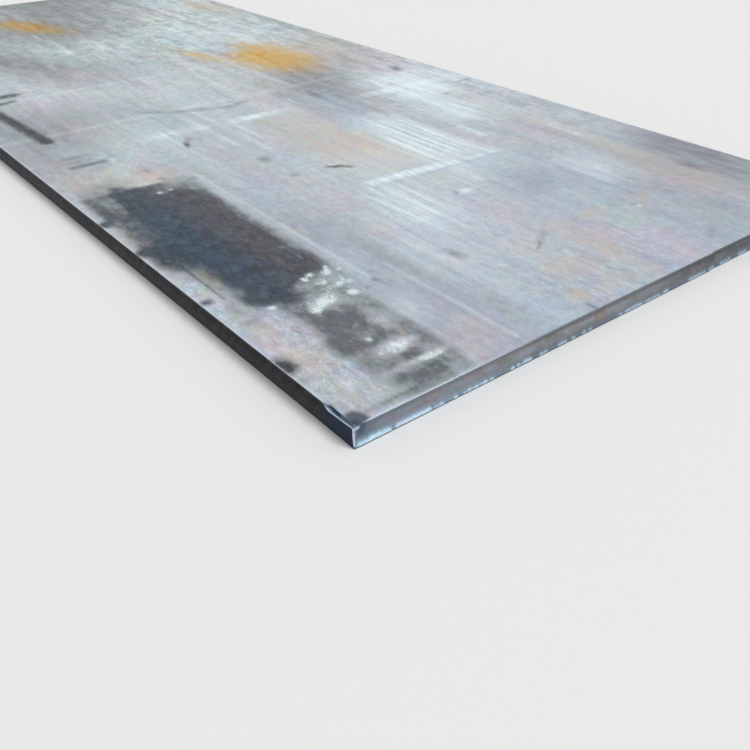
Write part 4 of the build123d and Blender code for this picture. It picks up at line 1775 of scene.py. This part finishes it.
@dataclass(frozen=True)
class UndersideFinish:
    """The underside: dull scale with rust where water stood under the plate."""

    scale: Colour = tone(104, 106, 114)
    rust: Colour = tone(128, 92, 62)
    metallic: float = 0.2
    bump_depth: float = 0.0003

    def make(self) -> bpy.types.Material:
        """Build the material.

        Returns:
            The material.
        """
        bench = Bench(bpy.data.materials.new("underside_scale"))
        clouds = bench.noise((5, 2.5, 1), 5, 0.6)
        streaks = bench.noise((60, 1.5, 1))
        spots = bench.noise((90, 90, 1))
        rusted = (clouds + spots * 0.4).step(0.74, 0.90)
        colour = bench.over(self.scale, (rusted * 0.8, self.rust))
        colour = bench.tinge(colour, ((30, 18, 1), 0.4))
        colour = bench.lit(colour, 1.0 + (streaks - 0.5) * 0.4)
        roughness = 0.55 + rusted * 0.25
        return bench.finish(colour, roughness, self.metallic, spots, self.bump_depth)


# The studio


def link(name: str, data: bpy.types.ID) -> bpy.types.Object:
    """Add an object to the scene.

    Args:
        name: Its name.
        data: Its mesh, lamp or camera.

    Returns:
        The object.
    """
    thing = bpy.data.objects.new(name, data)
    bpy.context.scene.collection.objects.link(thing)
    return thing


def direction(bearing: float, height: float) -> Vector:
    """Return the way to a bearing from +Y towards +X and a height above level, in radians."""
    level = math.cos(height)
    return Vector((math.sin(bearing) * level, math.cos(bearing) * level, math.sin(height)))


@dataclass
class Studio:
    """Pale floor and soft light."""

    floor_half: float = 60.0
    floor_gap: float = 0.0010
    floor_tint: Colour = (0.80, 0.80, 0.795, 1.0)
    floor_roughness: float = 0.75
    floor_bump: float = 0.0002
    sky_tint: Colour = (1.0, 1.0, 1.0, 1.0)
    sky_light: float = 0.55
    sky_shown: float = 0.86
    sun_strength: float = 1.75
    sun_softness: float = 28.0
    sun_bearing: float = 150.0
    sun_height: float = 56.0

    def floor(self) -> bpy.types.Object:
        """Build the floor just under the plate.

        Returns:
            The floor.
        """
        corners = ((-1, -1), (1, -1), (1, 1), (-1, 1))
        points = [(x * self.floor_half, y * self.floor_half, -self.floor_gap) for x, y in corners]
        mesh = bpy.data.meshes.new("studio_floor")
        mesh.from_pydata(points, [], [(0, 1, 2, 3)])
        bench = Bench(bpy.data.materials.new("studio_floor_paint"))
        grain, roughness = bench.noise((30, 30, 30)), self.floor_roughness
        paint = bench.finish(self.floor_tint, roughness, 0.0, grain, self.floor_bump)
        mesh.materials.append(paint)
        floor = link("studio_floor", mesh)
        return floor

    def sky(self) -> None:
        """Fill the world: plain light for the surfaces, a pale ground for what is seen."""
        world = bpy.data.worlds.new("studio_sky")
        bpy.context.scene.world = world
        bench = Bench(world)
        rays = ("Is Camera Ray", "Is Glossy Ray", "Is Transmission Ray")
        camera, glossy, through = bench.outputs(bench.node("ShaderNodeLightPath", {}, {}), *rays)
        seen = camera.most(glossy).most(through)
        strength = seen * (self.sky_shown - self.sky_light) + self.sky_light
        inputs = {"Color": self.sky_tint, "Strength": strength}
        bench.close(bench.node("ShaderNodeBackground", {}, inputs), "ShaderNodeOutputWorld")

    def sun(self) -> bpy.types.Object:
        """Add one large soft lamp, high to the front right.

        Returns:
            The lamp's object.
        """
        lamp = bpy.data.lights.new("studio_sun", "SUN")
        lamp.energy = self.sun_strength
        lamp.angle = math.radians(self.sun_softness)
        sun = link("studio_sun", lamp)
        towards = direction(math.radians(self.sun_bearing), math.radians(self.sun_height))
        sun.rotation_mode = "QUATERNION"
        sun.rotation_quaternion = towards.to_track_quat("Z", "Y")
        return sun


@dataclass
class ViewPoint:
    """The camera, fitted to the plate's edges, in metres and degrees."""

    place: Tuple[float, float, float] = (-2.2179, -4.3004, 1.3336)
    heading: float = 38.555
    tilt: float = 34.340
    roll: float = 0.100
    lens: float = 39.70
    sensor: float = 36.0
    nearest: float = 0.05
    farthest: float = 300.0

    def camera(self) -> bpy.types.Object:
        """Build the camera and return it.

        The heading turns from +Y towards +X and the tilt looks down. The camera's own axes are
        its right, its up and its back, turned by the roll about the line of sight.

        Returns:
            The camera.
        """
        heading, tilt, roll = (math.radians(a) for a in (self.heading, self.tilt, self.roll))
        ahead = direction(heading, -tilt)
        level = Vector((math.cos(heading), -math.sin(heading), 0.0))
        down = ahead.cross(level)
        right = math.cos(roll) * level + math.sin(roll) * down
        low = math.cos(roll) * down - math.sin(roll) * level
        turn = Matrix((right, -low, -ahead)).transposed()
        data = bpy.data.cameras.new("view_point")
        data.lens, data.sensor_width = self.lens, self.sensor
        data.clip_start, data.clip_end = self.nearest, self.farthest
        camera = link("view_point", data)
        camera.matrix_world = Matrix.Translation(self.place) @ turn.to_4x4()
        bpy.context.scene.camera = camera
        return camera


def main() -> None:
    """Build the studio and the plate."""
    logging.basicConfig(level=logging.INFO, format="%(name)s: %(message)s")
    bpy.context.scene.view_settings.view_transform = "Standard"
    ViewPoint().camera()
    studio = Studio()
    studio.floor()
    studio.sky()
    studio.sun()
    LOG.info("studio ready")

    low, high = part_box(PLATE_NODE)
    front = FrontCut(high.z, front_slag(), seed=11)
    back = CutEnd(high.z, scattered_slag(start=0.02, end=2.48, count=34, seed=72), seed=12)
    skin = PlateSkin(
        half_width=high.x,
        half_length=high.y - front.foot_reach,
        thickness=high.z,
        front=front,
        back=back,
        near_side=WashedSide(),
        far_side=TrimmedSide(seed=33),
    )
    plate = skin.build("plate_skin", MARKS)
    for finish in (
        MillScaleFace(skin.half_width, skin.half_length),
        FlameCutEnd(skin.thickness, skin.half_width, front.drag_lag),
        TrimmedSideFinish(skin.thickness, skin.half_length),
        UndersideFinish(),
    ):
        plate.data.materials.append(finish.make())
    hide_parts(PLATE_NODE)
    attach(plate, BODY)
    LOG.info("plate skin: %d faces, box %s to %s", len(plate.data.polygons), low, high)


if __name__ == "__main__":
    main()
